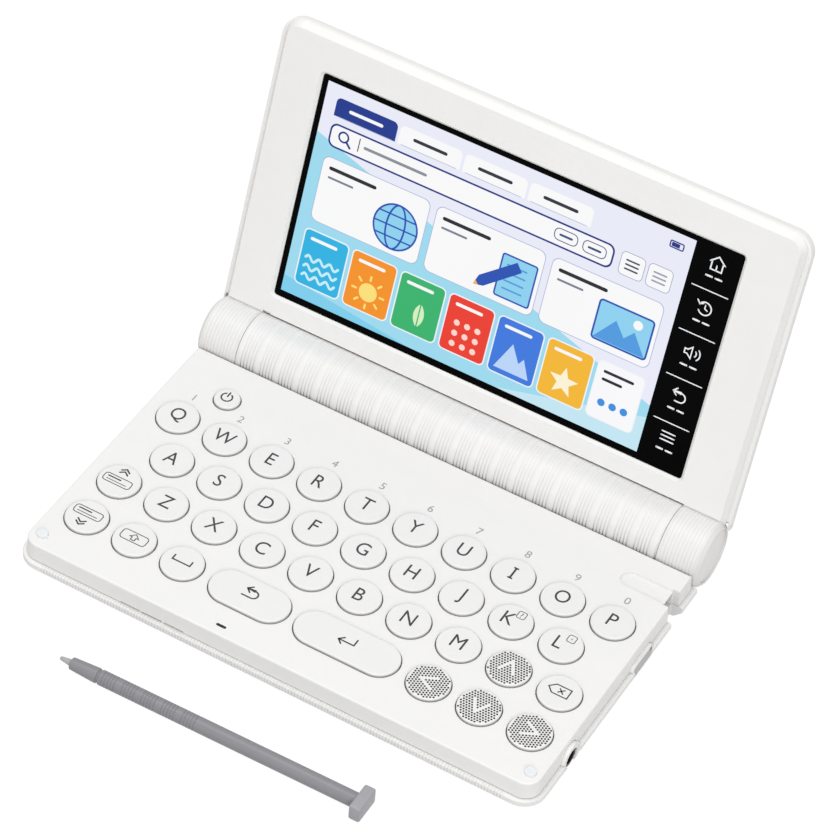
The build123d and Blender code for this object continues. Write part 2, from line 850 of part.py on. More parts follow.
def make_case_screws():
    with BuildPart() as screws:
        with BuildSketch(Plane.XY.offset(screw_recess_depth - screw_head_height)):
            with Locations(*screw_places):
                Circle(screw_head_radius)
        extrude(amount=screw_head_height)
        with BuildSketch(Plane.XY.offset(screw_recess_depth)):
            with Locations(*screw_places):
                Circle(screw_radius - screw_clearance / 2)
        extrude(amount=screw_length - screw_recess_depth)
    save(screws.part, "case_screws")


def round_free_corners(sketch, radius):
    """Rounds the two corners of a lid outline that are furthest from the hinge."""
    up = Axis((0, hinge_y, hinge_z), tuple(lid_plane.y_dir))
    fillet(sketch.vertices().group_by(up)[-1], radius)


def make_lid_bezel():
    flared_half = lid_half + lid_seam_side_flare
    inner = lid_half - lid_wall
    facing = Axis((0, hinge_y, hinge_z), lid_normal)
    with BuildPart() as bezel:
        with BuildSketch(lid_sheet(seam_depth)) as outline:
            block(-flared_half, flared_half, 0, lid_end + lid_seam_end_flare)
            round_free_corners(outline, lid_face_corner + lid_seam_side_flare)
        with BuildSketch(lid_sheet(face_depth)) as face:
            block(-lid_half, lid_half, 0, lid_end)
            round_free_corners(face, lid_face_corner)
        loft(ruled=True)
        with BuildSketch(lid_sheet(seam_depth)) as cavity:
            block(-inner, inner, barrel_radius + lid_wall, lid_end - lid_wall)
            round_free_corners(cavity, lid_face_corner - lid_wall)
        extrude(amount=lid_seam_depth - lid_plate, mode=Mode.SUBTRACT)
        with BuildSketch(lid_sheet(seam_depth)) as window:
            block(
                glass_left - glass_gap,
                glass_right + glass_gap,
                glass_start - glass_gap,
                glass_end + glass_gap,
            )
            fillet(window.vertices(), glass_corner)
        extrude(amount=2 * lid_seam_depth, mode=Mode.SUBTRACT)
        chamfer(bezel.faces().sort_by(facing)[-1].inner_wires()[0].edges(), window_bevel)
        # clearance round the middle of the barrel, and past its two ends
        with BuildSketch(across(-knuckle_start)):
            disc(barrel_radius + lid_barrel_gap)
        extrude(amount=2 * knuckle_start, mode=Mode.SUBTRACT)
        for side in (-1, 1):
            with BuildSketch(across(side * barrel_end)):
                disc(barrel_radius)
            extrude(amount=side * barrel_radius, mode=Mode.SUBTRACT)
            # the end knuckle of the barrel turns with the lid
            with BuildSketch(across(side * knuckle_start)):
                disc(barrel_radius)
            extrude(amount=side * (knuckle_length - barrel_bevel))
            with BuildSketch(across(side * (barrel_end - barrel_bevel))):
                disc(barrel_radius)
            extrude(amount=side * barrel_bevel, taper=barrel_bevel_angle)
            with BuildSketch(across(side * knuckle_inner_start)):
                disc(barrel_radius - knuckle_wall)
            extrude(amount=side * knuckle_length, mode=Mode.SUBTRACT)
            with BuildSketch(across(side * barrel_half)):
                disc(shaft_radius + shaft_clearance)
            extrude(amount=side * knuckle_length, mode=Mode.SUBTRACT)
        # crease where the face meets the knuckles, and the slot for the lid catch beside the left one
        with BuildSketch(lid_sheet(face_depth + crease_depth)):
            block(-flared_half, flared_half, crease_start, crease_start + crease_width)
        extrude(amount=crease_depth + overlap, mode=Mode.SUBTRACT)
        with BuildSketch(lid_sheet(face_depth + catch_slot_depth)):
            catch_slot_end = catch_slot_start + catch_slot_length
            block(catch_slot_start, catch_slot_end, crease_start, crease_start + catch_slot_reach)
        extrude(amount=catch_slot_depth + overlap, mode=Mode.SUBTRACT)
    save(bezel.part, "lid_bezel")


def make_lid_back():
    rim_half = lid_half + lid_rim_side_flare
    rim_end = lid_end + lid_rim_end_flare
    inner = rim_half - lid_back_wall
    front_depth = seam_depth + seam_gap
    facing = Axis((0, hinge_y, hinge_z), lid_normal)
    up = Axis((0, hinge_y, hinge_z), tuple(lid_plane.y_dir))
    with BuildPart() as back:
        with BuildSketch(lid_sheet(back_depth)) as outline:
            block(-rim_half, rim_half, lid_foot, rim_end)
            round_free_corners(outline, lid_face_corner + lid_rim_side_flare)
        extrude(amount=back_depth - front_depth)
        back_edges = back.faces().sort_by(facing)[0].edges().sort_by(up)[1:]
        fillet(back_edges, lid_rim_back_round)
        front_edges = back.faces().sort_by(facing)[-1].edges().sort_by(up)[1:]
        fillet(front_edges, lid_rim_front_round)
        with BuildSketch(lid_sheet(back_depth - lid_wall)) as cavity:
            block(-inner, inner, barrel_radius + lid_wall, rim_end - lid_back_wall)
            round_free_corners(cavity, lid_face_corner)
        extrude(amount=lid_thickness, mode=Mode.SUBTRACT)
        with BuildSketch(across(-lip_half)):
            disc(barrel_radius + lid_barrel_gap)
        extrude(amount=2 * lip_half, mode=Mode.SUBTRACT)
    save(back.part, "lid_back_cover")


def make_display():
    with BuildPart() as glass:
        with BuildSketch(lid_sheet(glass_back)) as outline:
            block(glass_left, glass_right, glass_start, glass_end)
            fillet(outline.vertices(), glass_corner - glass_gap)
        extrude(amount=glass_thickness)
    save(glass.part, "display_glass")
    module_back = back_depth - lid_wall - module_gap
    with BuildPart() as module:
        with BuildSketch(lid_sheet(module_back)):
            low = glass_start - module_margin
            block(glass_left - module_margin, glass_right + module_margin, low, glass_end + module_margin)
        extrude(amount=module_back - glass_back)
    save(module.part, "display_module")


def make_stylus():
    start = stylus_x
    head_start = start + stylus_length - stylus_head_length
    cone_start = start + stylus_nib_length
    cone_end = cone_start + stylus_cone_length
    groove_start = cone_end + stylus_groove_gap
    groove_end = groove_start + stylus_groove_width
    groove_radius = stylus_radius - stylus_groove_depth
    with BuildPart() as stylus:
        with BuildSketch(Plane(origin=(0, stylus_y, stylus_z), x_dir=(1, 0, 0), z_dir=(0, -1, 0))):
            with BuildLine():
                ThreePointArc(
                    (start, 0),
                    (start + stylus_nib_radius * (1 - math.sqrt(0.5)), stylus_nib_radius * math.sqrt(0.5)),
                    (start + stylus_nib_radius, stylus_nib_radius),
                )
                Polyline(
                    (start + stylus_nib_radius, stylus_nib_radius),
                    (cone_start, stylus_nib_base_radius),
                    (cone_start, stylus_cone_radius),
                    (cone_end, stylus_radius),
                    (groove_start, stylus_radius),
                    (groove_start, groove_radius),
                    (groove_end, groove_radius),
                    (groove_end, stylus_radius),
                    (head_start, stylus_radius),
                    (head_start, 0),
                    (start, 0),
                )
            make_face()
        revolve(axis=Axis((0, stylus_y, stylus_z), (1, 0, 0)))
        with BuildSketch(across(head_start)) as head:
            with Locations((stylus_y, stylus_z)):
                Rectangle(stylus_head_width, stylus_head_height)
            fillet(head.vertices(), stylus_head_round)
        extrude(amount=stylus_head_length)
        fillet(stylus.faces().sort_by(Axis.X)[-1].edges(), stylus_head_round)
    # the head is higher than the shaft, so the shaft slopes down to where its sleeve ends
    slope = math.atan((stylus_head_height / 2 - stylus_radius) / (head_start - cone_end))
    level = stylus.part.rotate(Axis((cone_end, stylus_y, ground), (0, 1, 0)), -math.degrees(slope))
    save(level.rotate(Axis((cone_end, stylus_y, ground), (0, 0, 1)), stylus_turn), "stylus")


make_lower_case()
make_deck_cover()
make_barrel()
make_battery_door()
make_battery_cells()
make_battery_contacts()
make_hinge_shafts()
make_end_caps()
make_keys()
make_key_mat()
make_circuit_board()
make_speaker()
make_earphone_jack()
make_card_socket()
make_side_cover()
make_feet()
make_bumpers()
make_case_screws()
make_lid_bezel()
make_lid_back()
make_display()
make_stylus()
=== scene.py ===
"""Looks of the folding electronic dictionary: finishes, ribs, legends, the picture on its display and its studio."""

import json
import math

import bmesh
import bpy
from mathutils import Matrix, Vector


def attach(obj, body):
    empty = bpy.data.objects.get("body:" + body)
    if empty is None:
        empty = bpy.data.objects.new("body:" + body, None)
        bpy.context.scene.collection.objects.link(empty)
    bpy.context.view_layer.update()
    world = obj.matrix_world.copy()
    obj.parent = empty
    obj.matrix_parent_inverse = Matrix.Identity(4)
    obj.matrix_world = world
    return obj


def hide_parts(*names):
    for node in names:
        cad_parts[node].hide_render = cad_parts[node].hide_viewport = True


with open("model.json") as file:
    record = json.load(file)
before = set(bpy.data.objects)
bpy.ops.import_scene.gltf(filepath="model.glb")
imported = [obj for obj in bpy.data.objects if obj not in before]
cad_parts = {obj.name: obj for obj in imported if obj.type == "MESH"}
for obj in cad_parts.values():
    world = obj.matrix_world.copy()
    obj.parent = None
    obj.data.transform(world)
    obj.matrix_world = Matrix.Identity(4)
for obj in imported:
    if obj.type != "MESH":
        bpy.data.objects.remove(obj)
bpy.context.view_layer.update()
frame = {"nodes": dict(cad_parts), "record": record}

MM = 0.001

# --- Sizes, in millimetres ---
key_pitch = 14.0
first_key_x = -62.74
row_y = [15.8, 2.15, -11.5, -26.2]
power_key_place = (-55.74, 28.26)
key_face = 9.98
deck_top = 9.2
lip_front = -42.35
lip_rib_pitch = 0.851
hinge_y = 50.35
hinge_z = 8.56
barrel_radius = 8.9
barrel_half = 61.6
door_half = 52.0
lid_open_angle = 107.0
glass_front = 2.49
ground = -0.6
print_height = 0.02
plain_tint = (1, 1, 1, 1)
stylus_y = -62.15
stylus_z = 1.4

letter_rows = [("qwertyuiop", 0.0, 0), ("asdfghjkl", 0.5, 1), ("zxcvbnm", 1.0, 2)]
key_place = {}
for letters, first, row in letter_rows:
    for number, letter in enumerate(letters):
        key_place[letter] = (first_key_x + (first + number) * key_pitch, row_y[row])
for name, column, row in [
    ("previous", 0, 2), ("up", 8, 2), ("delete", 9, 2), ("next", 0, 3), ("shift", 1, 3), ("space", 2, 3),
    ("back", 3.39, 3), ("enter", 5.37, 3), ("left", 7, 3), ("down", 8, 3), ("right", 9, 3),
]:
    key_place[name] = (first_key_x + column * key_pitch, row_y[row])
key_place["power"] = power_key_place


# --- Building materials and trees out of nodes ---
class Wire:
    """A value or colour on its way through a node tree, usable in plain sums."""

    def __init__(self, maker, socket):
        self.maker = maker
        self.socket = socket

    def worked(self, operation, *values):
        return self.maker.node("ShaderNodeMath", {"operation": operation}, dict(enumerate(values)))

    def __add__(self, other):
        return self.worked("ADD", self, other)

    def __radd__(self, other):
        return self.worked("ADD", other, self)

    def __sub__(self, other):
        return self.worked("SUBTRACT", self, other)

    def __rsub__(self, other):
        return self.worked("SUBTRACT", other, self)

    def __mul__(self, other):
        return self.worked("MULTIPLY", self, other)

    def __rmul__(self, other):
        return self.worked("MULTIPLY", other, self)

    def __truediv__(self, other):
        return self.worked("DIVIDE", self, other)

    def __mod__(self, other):
        return self.worked("FLOORED_MODULO", self, other)

    def __gt__(self, other):
        return self.worked("GREATER_THAN", self, other)

    def __lt__(self, other):
        return self.worked("LESS_THAN", self, other)

    def __abs__(self):
        return self.worked("ABSOLUTE", self)


class NodeMaker:
    """Adds nodes to a tree. Settings are set first, then the values or links of the sockets."""

    def use(self, tree):
        self.tree = tree

    def feed(self, socket, value):
        if isinstance(value, Wire):
            self.tree.links.new(value.socket, socket)
        else:
            socket.default_value = value

    def node(self, kind, settings=None, inputs=None, output=0):
        made = self.tree.nodes.new(kind)
        for key, value in (settings or {}).items():
            setattr(made, key, value)
        for key, value in (inputs or {}).items():
            self.feed(made.inputs[key], value)
        return Wire(self, made.outputs[output])


class Finish(NodeMaker):
    """One material around a Principled shader."""

    def __init__(self, name, **values):
        self.material = bpy.data.materials.new(name)
        self.material.use_nodes = True
        self.use(self.material.node_tree)
        self.shader = self.tree.nodes["Principled BSDF"]
        self.set(**values)

    def set(self, **values):
        for key, value in values.items():
            self.feed(self.shader.inputs[key.replace("_", " ")], value)

    def place(self):
        return self.node("ShaderNodeTexCoord", output="Object")

    def axis(self, name):
        """Millimetres along X, Y or Z."""
        return self.node("ShaderNodeSeparateXYZ", inputs={0: self.place()}, output=name) * 1000

    def noise(self, size, detail=2.0, stretch=(1, 1, 1)):
        """Smooth noise from 0 to 1 with features of about that size in millimetres."""
        scaled = self.node("ShaderNodeMapping", inputs={"Vector": self.place(), "Scale": stretch})
        return self.node("ShaderNodeTexNoise", inputs={"Vector": scaled, "Scale": 1 / (size * MM), "Detail": detail})

    def cells(self, size):
        return self.node("ShaderNodeTexVoronoi", inputs={"Vector": self.place(), "Scale": 1 / (size * MM)})

    def blend(self, factor, first, second):
        return self.node("ShaderNodeMix", {"data_type": "RGBA"}, {0: factor, 6: first, 7: second}, output=2)

    def held(self, value):
        """The value kept between 0 and 1."""
        return self.node("ShaderNodeClamp", inputs={0: value})

    def tint(self, factor):
        """Multiplies the base colour by a factor that varies over the piece."""
        base = self.shader.inputs["Base Color"].links[0].from_socket
        darker = self.node("ShaderNodeHueSaturation", inputs={"Value": factor, "Color": Wire(self, base)})
        self.set(Base_Color=darker)

    def bump(self, height, strength, depth):
        """Raises the surface by height, 0 to 1, times depth in millimetres."""
        return self.node(
            "ShaderNodeBump", inputs={"Height": height, "Strength": strength, "Distance": depth * MM}, output="Normal"
        )


class Grower(NodeMaker):
    """One Geometry Nodes tree with named sizes. grow() turns its result into a plain mesh object."""

    def __init__(self, name, **sizes):
        self.use(bpy.data.node_groups.new(name, "GeometryNodeTree"))
        face = self.tree.interface
        face.new_socket("Geometry", in_out="INPUT", socket_type="NodeSocketGeometry")
        self.sockets = {}
        for label, kind in sizes.items():
            self.sockets[label] = face.new_socket(label, in_out="INPUT", socket_type="NodeSocket" + kind).identifier
        face.new_socket("Geometry", in_out="OUTPUT", socket_type="NodeSocketGeometry")
        self.start = self.tree.nodes.new("NodeGroupInput")
        self.end = self.tree.nodes.new("NodeGroupOutput")

    def given(self, label):
        return Wire(self, self.start.outputs[label])

    def joined(self, shapes):
        join = self.tree.nodes.new("GeometryNodeJoinGeometry")
        for shape in shapes:
            self.tree.links.new(shape.socket, join.inputs[0])
        return Wire(self, join.outputs[0])

    def spread(self, shape, finish, points=None, **more):
        """Ends the tree: the shape stands on each point, as real faces with their material."""
        points = self.given("Geometry") if points is None else points
        copies = self.node("GeometryNodeInstanceOnPoints", {}, {"Points": points, "Instance": shape, **more})
        real = self.node("GeometryNodeRealizeInstances", inputs={0: copies})
        done = self.node("GeometryNodeSetMaterial", inputs={"Geometry": real, "Material": finish.material})
        self.feed(self.end.inputs[0], done)

    def grow(self, name, points, values, widths=None):
        base = bpy.data.meshes.new(name + ".points")
        base.from_pydata([Vector(p) * MM for p in points], [], [])
        if widths:
            base.attributes.new("band_width", "FLOAT", "POINT").data.foreach_set("value", widths)
        seed = add_object(name + ".seed", base)
        modifier = seed.modifiers.new(name, "NODES")
        modifier.node_group = self.tree
        for label, value in values.items():
            modifier[self.sockets[label]] = value
        bpy.context.view_layer.update()
        return add_object(name, worked_out(seed))


def add_object(name, data):
    """A new object in the scene that holds the data."""
    made = bpy.data.objects.new(name, data)
    bpy.context.scene.collection.objects.link(made)
    return made


def worked_out(holder):
    """The plain mesh that an object's curve or node tree makes. The object itself goes."""
    graph = bpy.context.evaluated_depsgraph_get()
    mesh = bpy.data.meshes.new_from_object(holder.evaluated_get(graph))
    bpy.data.objects.remove(holder)
    return mesh


def paint(code):
    """A linear colour from its usual six digits."""
    parts = [int(code[i:i + 2], 16) / 255 for i in (0, 2, 4)]
    return tuple(c / 12.92 if c <= 0.04045 else ((c + 0.055) / 1.055) ** 2.4 for c in parts) + (1.0,)


def shade(colour, factor):
    return tuple(c * factor for c in colour[:3]) + (1.0,)


# --- Finishes ---
white = (0.835, 0.829, 0.815, 1)


def satin_plastic(name, colour, roughness, grain=0.22, depth=0.012, mottle=0.03):
    """Moulded plastic with a fine spark-eroded grain and a slightly uneven tone."""
    finish = Finish(name, Specular_IOR_Level=0.35)
    coarse = finish.noise(9.0, 3.0)
    fine = finish.noise(grain, 3.0)
    finish.set(
        Base_Color=finish.blend(coarse * 0.6 + fine * 0.4, colour, shade(colour, 1 - 2 * mottle)),
        Roughness=roughness + 0.1 * (fine - 0.5) + 0.05 * (coarse - 0.5),
        Normal=finish.bump(fine, 0.35, depth),
    )
    return finish


def front_side(finish):
    """1 on the front of the barrel and 0 on its back, with a soft change along its top and its bottom."""
    half_change = 2.5
    return finish.held((hinge_y + half_change - finish.axis("Y")) / (2 * half_change))


def low_shade(finish, share):
    """Painted shade near the deck makes the barrel a little darker there."""
    # The first number is how much darker the painted shade makes it, the second how fast it fades upwards.
    dust_and_shade, fade = 0.165, 0.212
    near_deck = finish.held(1 - fade * (finish.axis("Z") - hinge_z))
    return 1 - near_deck * front_side(finish) * share * dust_and_shade


def barrel_base():
    """The ground between the ribs of the barrel, with painted shade that gets darker towards the deck."""
    finish = satin_plastic("barrel_ground", (0.83, 0.82, 0.805, 1), 0.38, grain=0.16)
    height = finish.axis("Z") - hinge_z
    ribbed = abs(finish.axis("X")) < barrel_half
    # Painted shade in the grooves: a little everywhere, more on the front side lower down and near the deck.
    everywhere = 0.06
    by_height = finish.held(0.155 - 0.0185 * height)
    near_deck = finish.held(1.2 - 0.52 * height) * 0.25
    depth = everywhere + front_side(finish) * (by_height + near_deck)
    finish.tint((1 - ribbed * depth) * low_shade(finish, ribbed))
    return finish


def rib_finish(name, share):
    finish = satin_plastic(name, (0.81, 0.803, 0.79, 1), 0.38, grain=0.16)
    # Painted shade: the ribs get darker on their front side towards the deck, by the share given.
    finish.tint(low_shade(finish, share))
    return finish


def case_finish():
    """White plastic of the case, with painted shade in the seam round it and between the ribs of the front lip."""
    finish = satin_plastic("case_satin_white", white, 0.42)
    across, along, height = [finish.axis(name) for name in "XYZ"]
    seam_low, seam_high, seam_start, seam_shade = 4.05, 4.25, lip_front + 1.13, 0.45
    lip_back, lip_half, groove_shade, groove_slope = lip_front + 1.1, 65.5, 0.2, 4
    seam = (height > seam_low) * (height < seam_high) * (along > seam_start)
    aside = abs((across + lip_rib_pitch / 2) % lip_rib_pitch - lip_rib_pitch / 2)
    groove = finish.held(1 - aside * groove_slope)
    front = (along < lip_back) * (height < seam_low) * (abs(across) < lip_half)
    # Both darkenings are painted shade: a line along the seam, and lines between the lip's ribs at the front.
    finish.tint((1 - seam * seam_shade) * (1 - groove * front * groove_shade))
    return finish


def lid_finish():
    """White plastic of the lid, with painted shade that makes it a little darker between the ribs of its two knuckles.
    """
    finish = satin_plastic("lid_satin_white", white, 0.4, grain=0.2)
    outside = abs(finish.axis("X")) > barrel_half
    aside, above = finish.axis("Y") - hinge_y, finish.axis("Z") - hinge_z
    near = (aside * aside + above * above) < (barrel_radius + 0.1) ** 2
    finish.tint(1 - outside * near * 0.1)
    return finish


def key_finish():
    """White caps with painted shade on the skirt, darker towards the deck."""
    finish = satin_plastic("key_satin_white", (0.81, 0.805, 0.795, 1), 0.36, grain=0.14, depth=0.008)
    darkest, top_edge, steepness = 0.44, 0.06, 1.6
    # Painted shade: the skirt darkens from just below the top face down to the deck.
    finish.tint(1 - darkest * finish.held((key_face - top_edge - finish.axis("Z")) * steepness))
    return finish


def brushed_metal(name, colour, roughness, stretch):
    finish = Finish(name, Metallic=1.0)
    streak = finish.noise(0.3, 4.0, stretch)
    patch = finish.noise(4.0, 2.0)
    finish.set(
        Base_Color=finish.blend(patch, colour, shade(colour, 0.8)),
        Roughness=roughness + 0.15 * (streak - 0.5) + 0.1 * (patch - 0.5),
        Normal=finish.bump(streak, 0.2, 0.01),
    )
    return finish


def circuit_finish():
    """Green solder mask with copper tracks, and a dark tone on the chips below the board."""
    finish = Finish("board_mask", Specular_IOR_Level=0.5)
    track_pitch, lane_pitch, board_underside, board_top = 1.2, 6.0, 3.55, 4.6
    tracks = abs((finish.axis("X") + finish.noise(3.0) * 4) % track_pitch - track_pitch / 2) > 0.42
    lanes = abs(finish.axis("Y") % lane_pitch - lane_pitch / 2) > 1.0
    green = finish.blend(tracks * lanes, (0.012, 0.11, 0.045, 1), (0.03, 0.2, 0.07, 1))
    chips = finish.axis("Z") < board_underside
    capsule = finish.axis("Z") > board_top
    body = finish.blend(capsule, finish.blend(chips, green, (0.02, 0.02, 0.022, 1)), (0.3, 0.3, 0.31, 1))
    finish.set(
        Base_Color=body,
        Roughness=0.35 + chips * 0.2 + 0.1 * finish.noise(0.5),
        Normal=finish.bump(tracks, 0.3, 0.02),
    )
    return finish


def cell_finish():
    """Printed jacket of the two cells: bands round the cell, bright metal at its ends."""
    finish = Finish("cell_jacket_print", Coat_Weight=0.4)
    cell_pitch, first_end, band_start, last_end = 50.0, 0.9, 36.0, 48.4
    along = finish.axis("X") % cell_pitch
    end = (along < first_end) + (along > last_end)
    band = (along > band_start) * (along < last_end)
    jacket = finish.blend(band, (0.03, 0.035, 0.05, 1), (0.45, 0.27, 0.07, 1))
    finish.set(
        Base_Color=finish.blend(end, jacket, (0.6, 0.6, 0.6, 1)),
        Metallic=0.35 + 0.6 * end,
        Roughness=0.28 + 0.1 * finish.noise(1.5),
        Normal=finish.bump(finish.noise(0.6), 0.15, 0.02),
    )
    return finish


def silicone_finish():
    finish = Finish("mat_silicone", Subsurface_Weight=0.1)
    dust_and_shade = finish.cells(0.7)
    finish.set(
        Base_Color=finish.blend(finish.noise(3.0), (0.86, 0.855, 0.85, 1), (0.78, 0.78, 0.785, 1)),
        Roughness=0.55 + 0.15 * dust_and_shade,
        Normal=finish.bump(dust_and_shade, 0.2, 0.02),
    )
    return finish


def soft_rubber(name, colour):
    finish = Finish(name, Specular_IOR_Level=0.25)
    grit = finish.noise(0.15, 4.0)
    finish.set(
        Base_Color=finish.blend(grit, colour, shade(colour, 0.75)),
        Roughness=0.7 + 0.2 * (grit - 0.5),
        Normal=finish.bump(grit, 0.5, 0.03),
    )
    return finish


def cover_glass():
    """Black-backed glass with a trace of hand grease in its shine."""
    finish = Finish("black_glass", Specular_IOR_Level=0.02)
    smear = finish.noise(14.0, 4.0)
    finish.set(
        Base_Color=finish.blend(smear, (0.0012, 0.0012, 0.0014, 1), (0.002, 0.002, 0.0022, 1)),
        Roughness=0.08 + 0.12 * smear,
        Normal=finish.bump(finish.noise(20.0), 0.02, 0.01),
    )
    return finish


def lit_picture():
    """The display: each shape glows in its own tint, over a faint grid of pixel rows."""
    finish = Finish("lit_picture", Base_Color=(0.01, 0.01, 0.01, 1), Specular_IOR_Level=0.1, Emission_Strength=0.97)
    tint = finish.node("ShaderNodeAttribute", {"attribute_name": "tint"}, output="Color")
    row_pitch, dimming = 0.16, 0.03
    rows = abs(finish.axis("Z") % row_pitch - row_pitch / 2) > 0.07
    drift = finish.noise(30.0, 1.0)
    value = 1.0 - rows * dimming - drift * dimming
    dim = finish.node("ShaderNodeHueSaturation", inputs={"Value": value, "Color": tint})
    finish.set(Emission_Color=dim, Roughness=0.2 + 0.05 * drift)
    return finish


def printed_ink(name, colour):
    finish = Finish(name, Specular_IOR_Level=0.2)
    grit = finish.noise(0.12, 3.0)
    finish.set(
        Base_Color=finish.blend(grit, colour, shade(colour, 1.25)),
        Roughness=0.5 + 0.15 * (grit - 0.5),
        Normal=finish.bump(grit, 0.2, 0.004),
    )
    return finish


finishes = {
    "case_plastic": case_finish(),
    "lid_plastic": lid_finish(),
    "barrel_plastic": barrel_base(),
    "key_cap": key_finish(),
    "grey_plastic": satin_plastic("flap_grey", (0.5, 0.498, 0.495, 1), 0.5, grain=0.2, depth=0.02),
    "black_plastic": satin_plastic("inner_black", (0.012, 0.012, 0.013, 1), 0.4, grain=0.2, depth=0.02, mottle=0.1),
    "silicone": silicone_finish(),
    "rubber_grey": soft_rubber("foot_rubber", (0.5, 0.5, 0.5, 1)),
    "board": circuit_finish(),
    "cell_jacket": cell_finish(),
    "contact_metal": brushed_metal("contact_nickel", (0.62, 0.6, 0.56, 1), 0.3, (1, 6, 1)),
    "screw_steel": brushed_metal("screw_zinc", (0.5, 0.5, 0.52, 1), 0.35, (4, 4, 1)),
    "shaft_steel": brushed_metal("shaft_steel", (0.45, 0.45, 0.47, 1), 0.28, (8, 1, 1)),
    "module_metal": brushed_metal("module_sheet", (0.55, 0.56, 0.58, 1), 0.4, (1, 1, 8)),
    "display_glass": cover_glass(),
    "stylus_plastic": satin_plastic("stylus_grey", (0.255, 0.252, 0.273, 1), 0.38, grain=0.18, depth=0.01, mottle=0.06),
}
ink = printed_ink("legend_ink", (0.05, 0.05, 0.055, 1))
pale_ink = printed_ink("numeral_ink", (0.3, 0.3, 0.31, 1))
dot_ink = printed_ink("dot_ink", (0.03, 0.03, 0.03, 1))
strip_ink = printed_ink("strip_ink", (0.75, 0.76, 0.78, 1))
picture_finish = lit_picture()

for part in frame["record"]["subparts"]:
    for holder in frame["nodes"][part["node"]].material_slots:
        holder.material = finishes[part["material_slot"]].material


# --- Flat shapes and lines ---
def circle(x, y, radius, steps=28, start=0.0, sweep=360.0):
    """Points round a circle, or along an arc of it, without the last point of a full turn."""
    count = steps if sweep == 360.0 else steps + 1
    turns = [math.radians(start + sweep * i / steps) for i in range(count)]
    return [(x + radius * math.cos(turn), y + radius * math.sin(turn)) for turn in turns]


def rounded(left, low, right, high, radius, top_only=False):
    """A rectangle with round corners, anticlockwise."""
    corners = [(right - radius, low + radius, -90), (right - radius, high - radius, 0),
               (left + radius, high - radius, 90), (left + radius, low + radius, 180)]
    points = []
    for number, (x, y, start) in enumerate(corners):
        if top_only and number in (0, 3):
            points.append((right if number == 0 else left, low))
        else:
            points += circle(x, y, radius, 5, start, 90.0)
    return points


class Piece:
    """Collects shapes of one body and one finish, and makes them one mesh object."""

    def __init__(self, name, body, finish, slot, place):
        self.name, self.body, self.finish, self.slot, self.place = name, body, finish, slot, place
        self.mesh = bmesh.new()
        self.tints = self.mesh.loops.layers.float_color.new("tint")

    def vertex(self, x, y, z):
        return self.mesh.verts.new(self.place @ Vector((x, y, z)))

    def dye(self, faces, tint):
        for face in faces:
            for loop in face.loops:
                loop[self.tints] = tint

    def plate(self, outline, low=0.0, high=print_height, tint=plain_tint):
        """A flat solid of that outline."""
        below, above = [[self.vertex(x, y, z) for x, y in outline] for z in (low, high)]
        faces = [self.mesh.faces.new(above), self.mesh.faces.new(below[::-1])]
        for i in range(len(below)):
            j = (i + 1) % len(below)
            faces.append(self.mesh.faces.new((below[i], below[j], above[j], above[i])))
        self.dye(faces, tint)

    def line(self, points, width, low=0.0, high=print_height, tint=plain_tint, closed=False):
        """A flat line along the points, with mitred bends and round ends."""
        flat = [Vector(p) for p in points]
        last = len(flat) - 1
        rings = []
        for i, point in enumerate(flat):
            ways = []
            if i > 0 or closed:
                ways.append((point - flat[i - 1]).normalized())
            if i < last or closed:
                ways.append((flat[(i + 1) % len(flat)] - point).normalized())
            way_out = ways[-1]
            both = ways[0] + way_out
            mean = both.normalized() if both.length > 1e-6 else way_out
            normal = Vector((-mean.y, mean.x))
            reach = width / 2 / max(0.45, normal.dot(Vector((-way_out.y, way_out.x))))
            left, right = point + normal * reach, point - normal * reach
            rings.append([self.vertex(*p, z) for p, z in ((left, low), (right, low), (right, high), (left, high))])
        faces = []
        for i in range(len(rings) if closed else last):
            first, second = rings[i], rings[(i + 1) % len(rings)]
            for k in range(4):
                m = (k + 1) % 4
                faces.append(self.mesh.faces.new((first[k], first[m], second[m], second[k])))
        if not closed:
            faces.append(self.mesh.faces.new(rings[0][::-1]))
            faces.append(self.mesh.faces.new(rings[-1]))
        self.dye(faces, tint)
        if not closed:
            for end in (flat[0], flat[-1]):
                self.plate(circle(end.x, end.y, width / 2, 10), low, high, tint)

    def words(self, text, x, y, height, squeeze=1.0):
        """Text with capitals of that height, centred on x and y."""
        mesh = lettering(text, print_height)
        (left, right), (low, high) = extent(mesh, 0), extent(mesh, 1)
        scale = height / cap_height
        middle = Matrix.Translation(Vector((-(left + right) / 2, -(low + high) / 2, 0)))
        size = Matrix.Diagonal((scale * squeeze, scale, 1, 1))
        mesh.transform(self.place @ Matrix.Translation(Vector((x, y, print_height / 2))) @ size @ middle)
        letters = bmesh.new()
        letters.from_mesh(mesh)
        bmesh.ops.remove_doubles(letters, verts=letters.verts, dist=1e-8)
        letters.to_mesh(mesh)
        letters.free()
        known = len(self.mesh.faces)
        self.mesh.from_mesh(mesh)
        self.mesh.faces.ensure_lookup_table()
        self.dye(self.mesh.faces[known:], plain_tint)
        bpy.data.meshes.remove(mesh)

    def done(self):
        bmesh.ops.recalc_face_normals(self.mesh, faces=self.mesh.faces)
        seat(built(self.name, self.mesh, [self.finish]), self.body)


def lettering(text, thickness):
    """The text in the built-in lettering at size 1, as a mesh of that thickness."""
    curve = bpy.data.curves.new(text, "FONT")
    curve.body = text
    curve.extrude = thickness / 2
    curve.resolution_u = 4
    curve.size = 1.0
    return worked_out(add_object(text, curve))


def extent(mesh, axis):
    """Least and greatest coordinate of a mesh along an axis."""
    along = [v.co[axis] for v in mesh.vertices]
    return min(along), max(along)


foot, top = extent(lettering("H", print_height), 1)
cap_height = top - foot


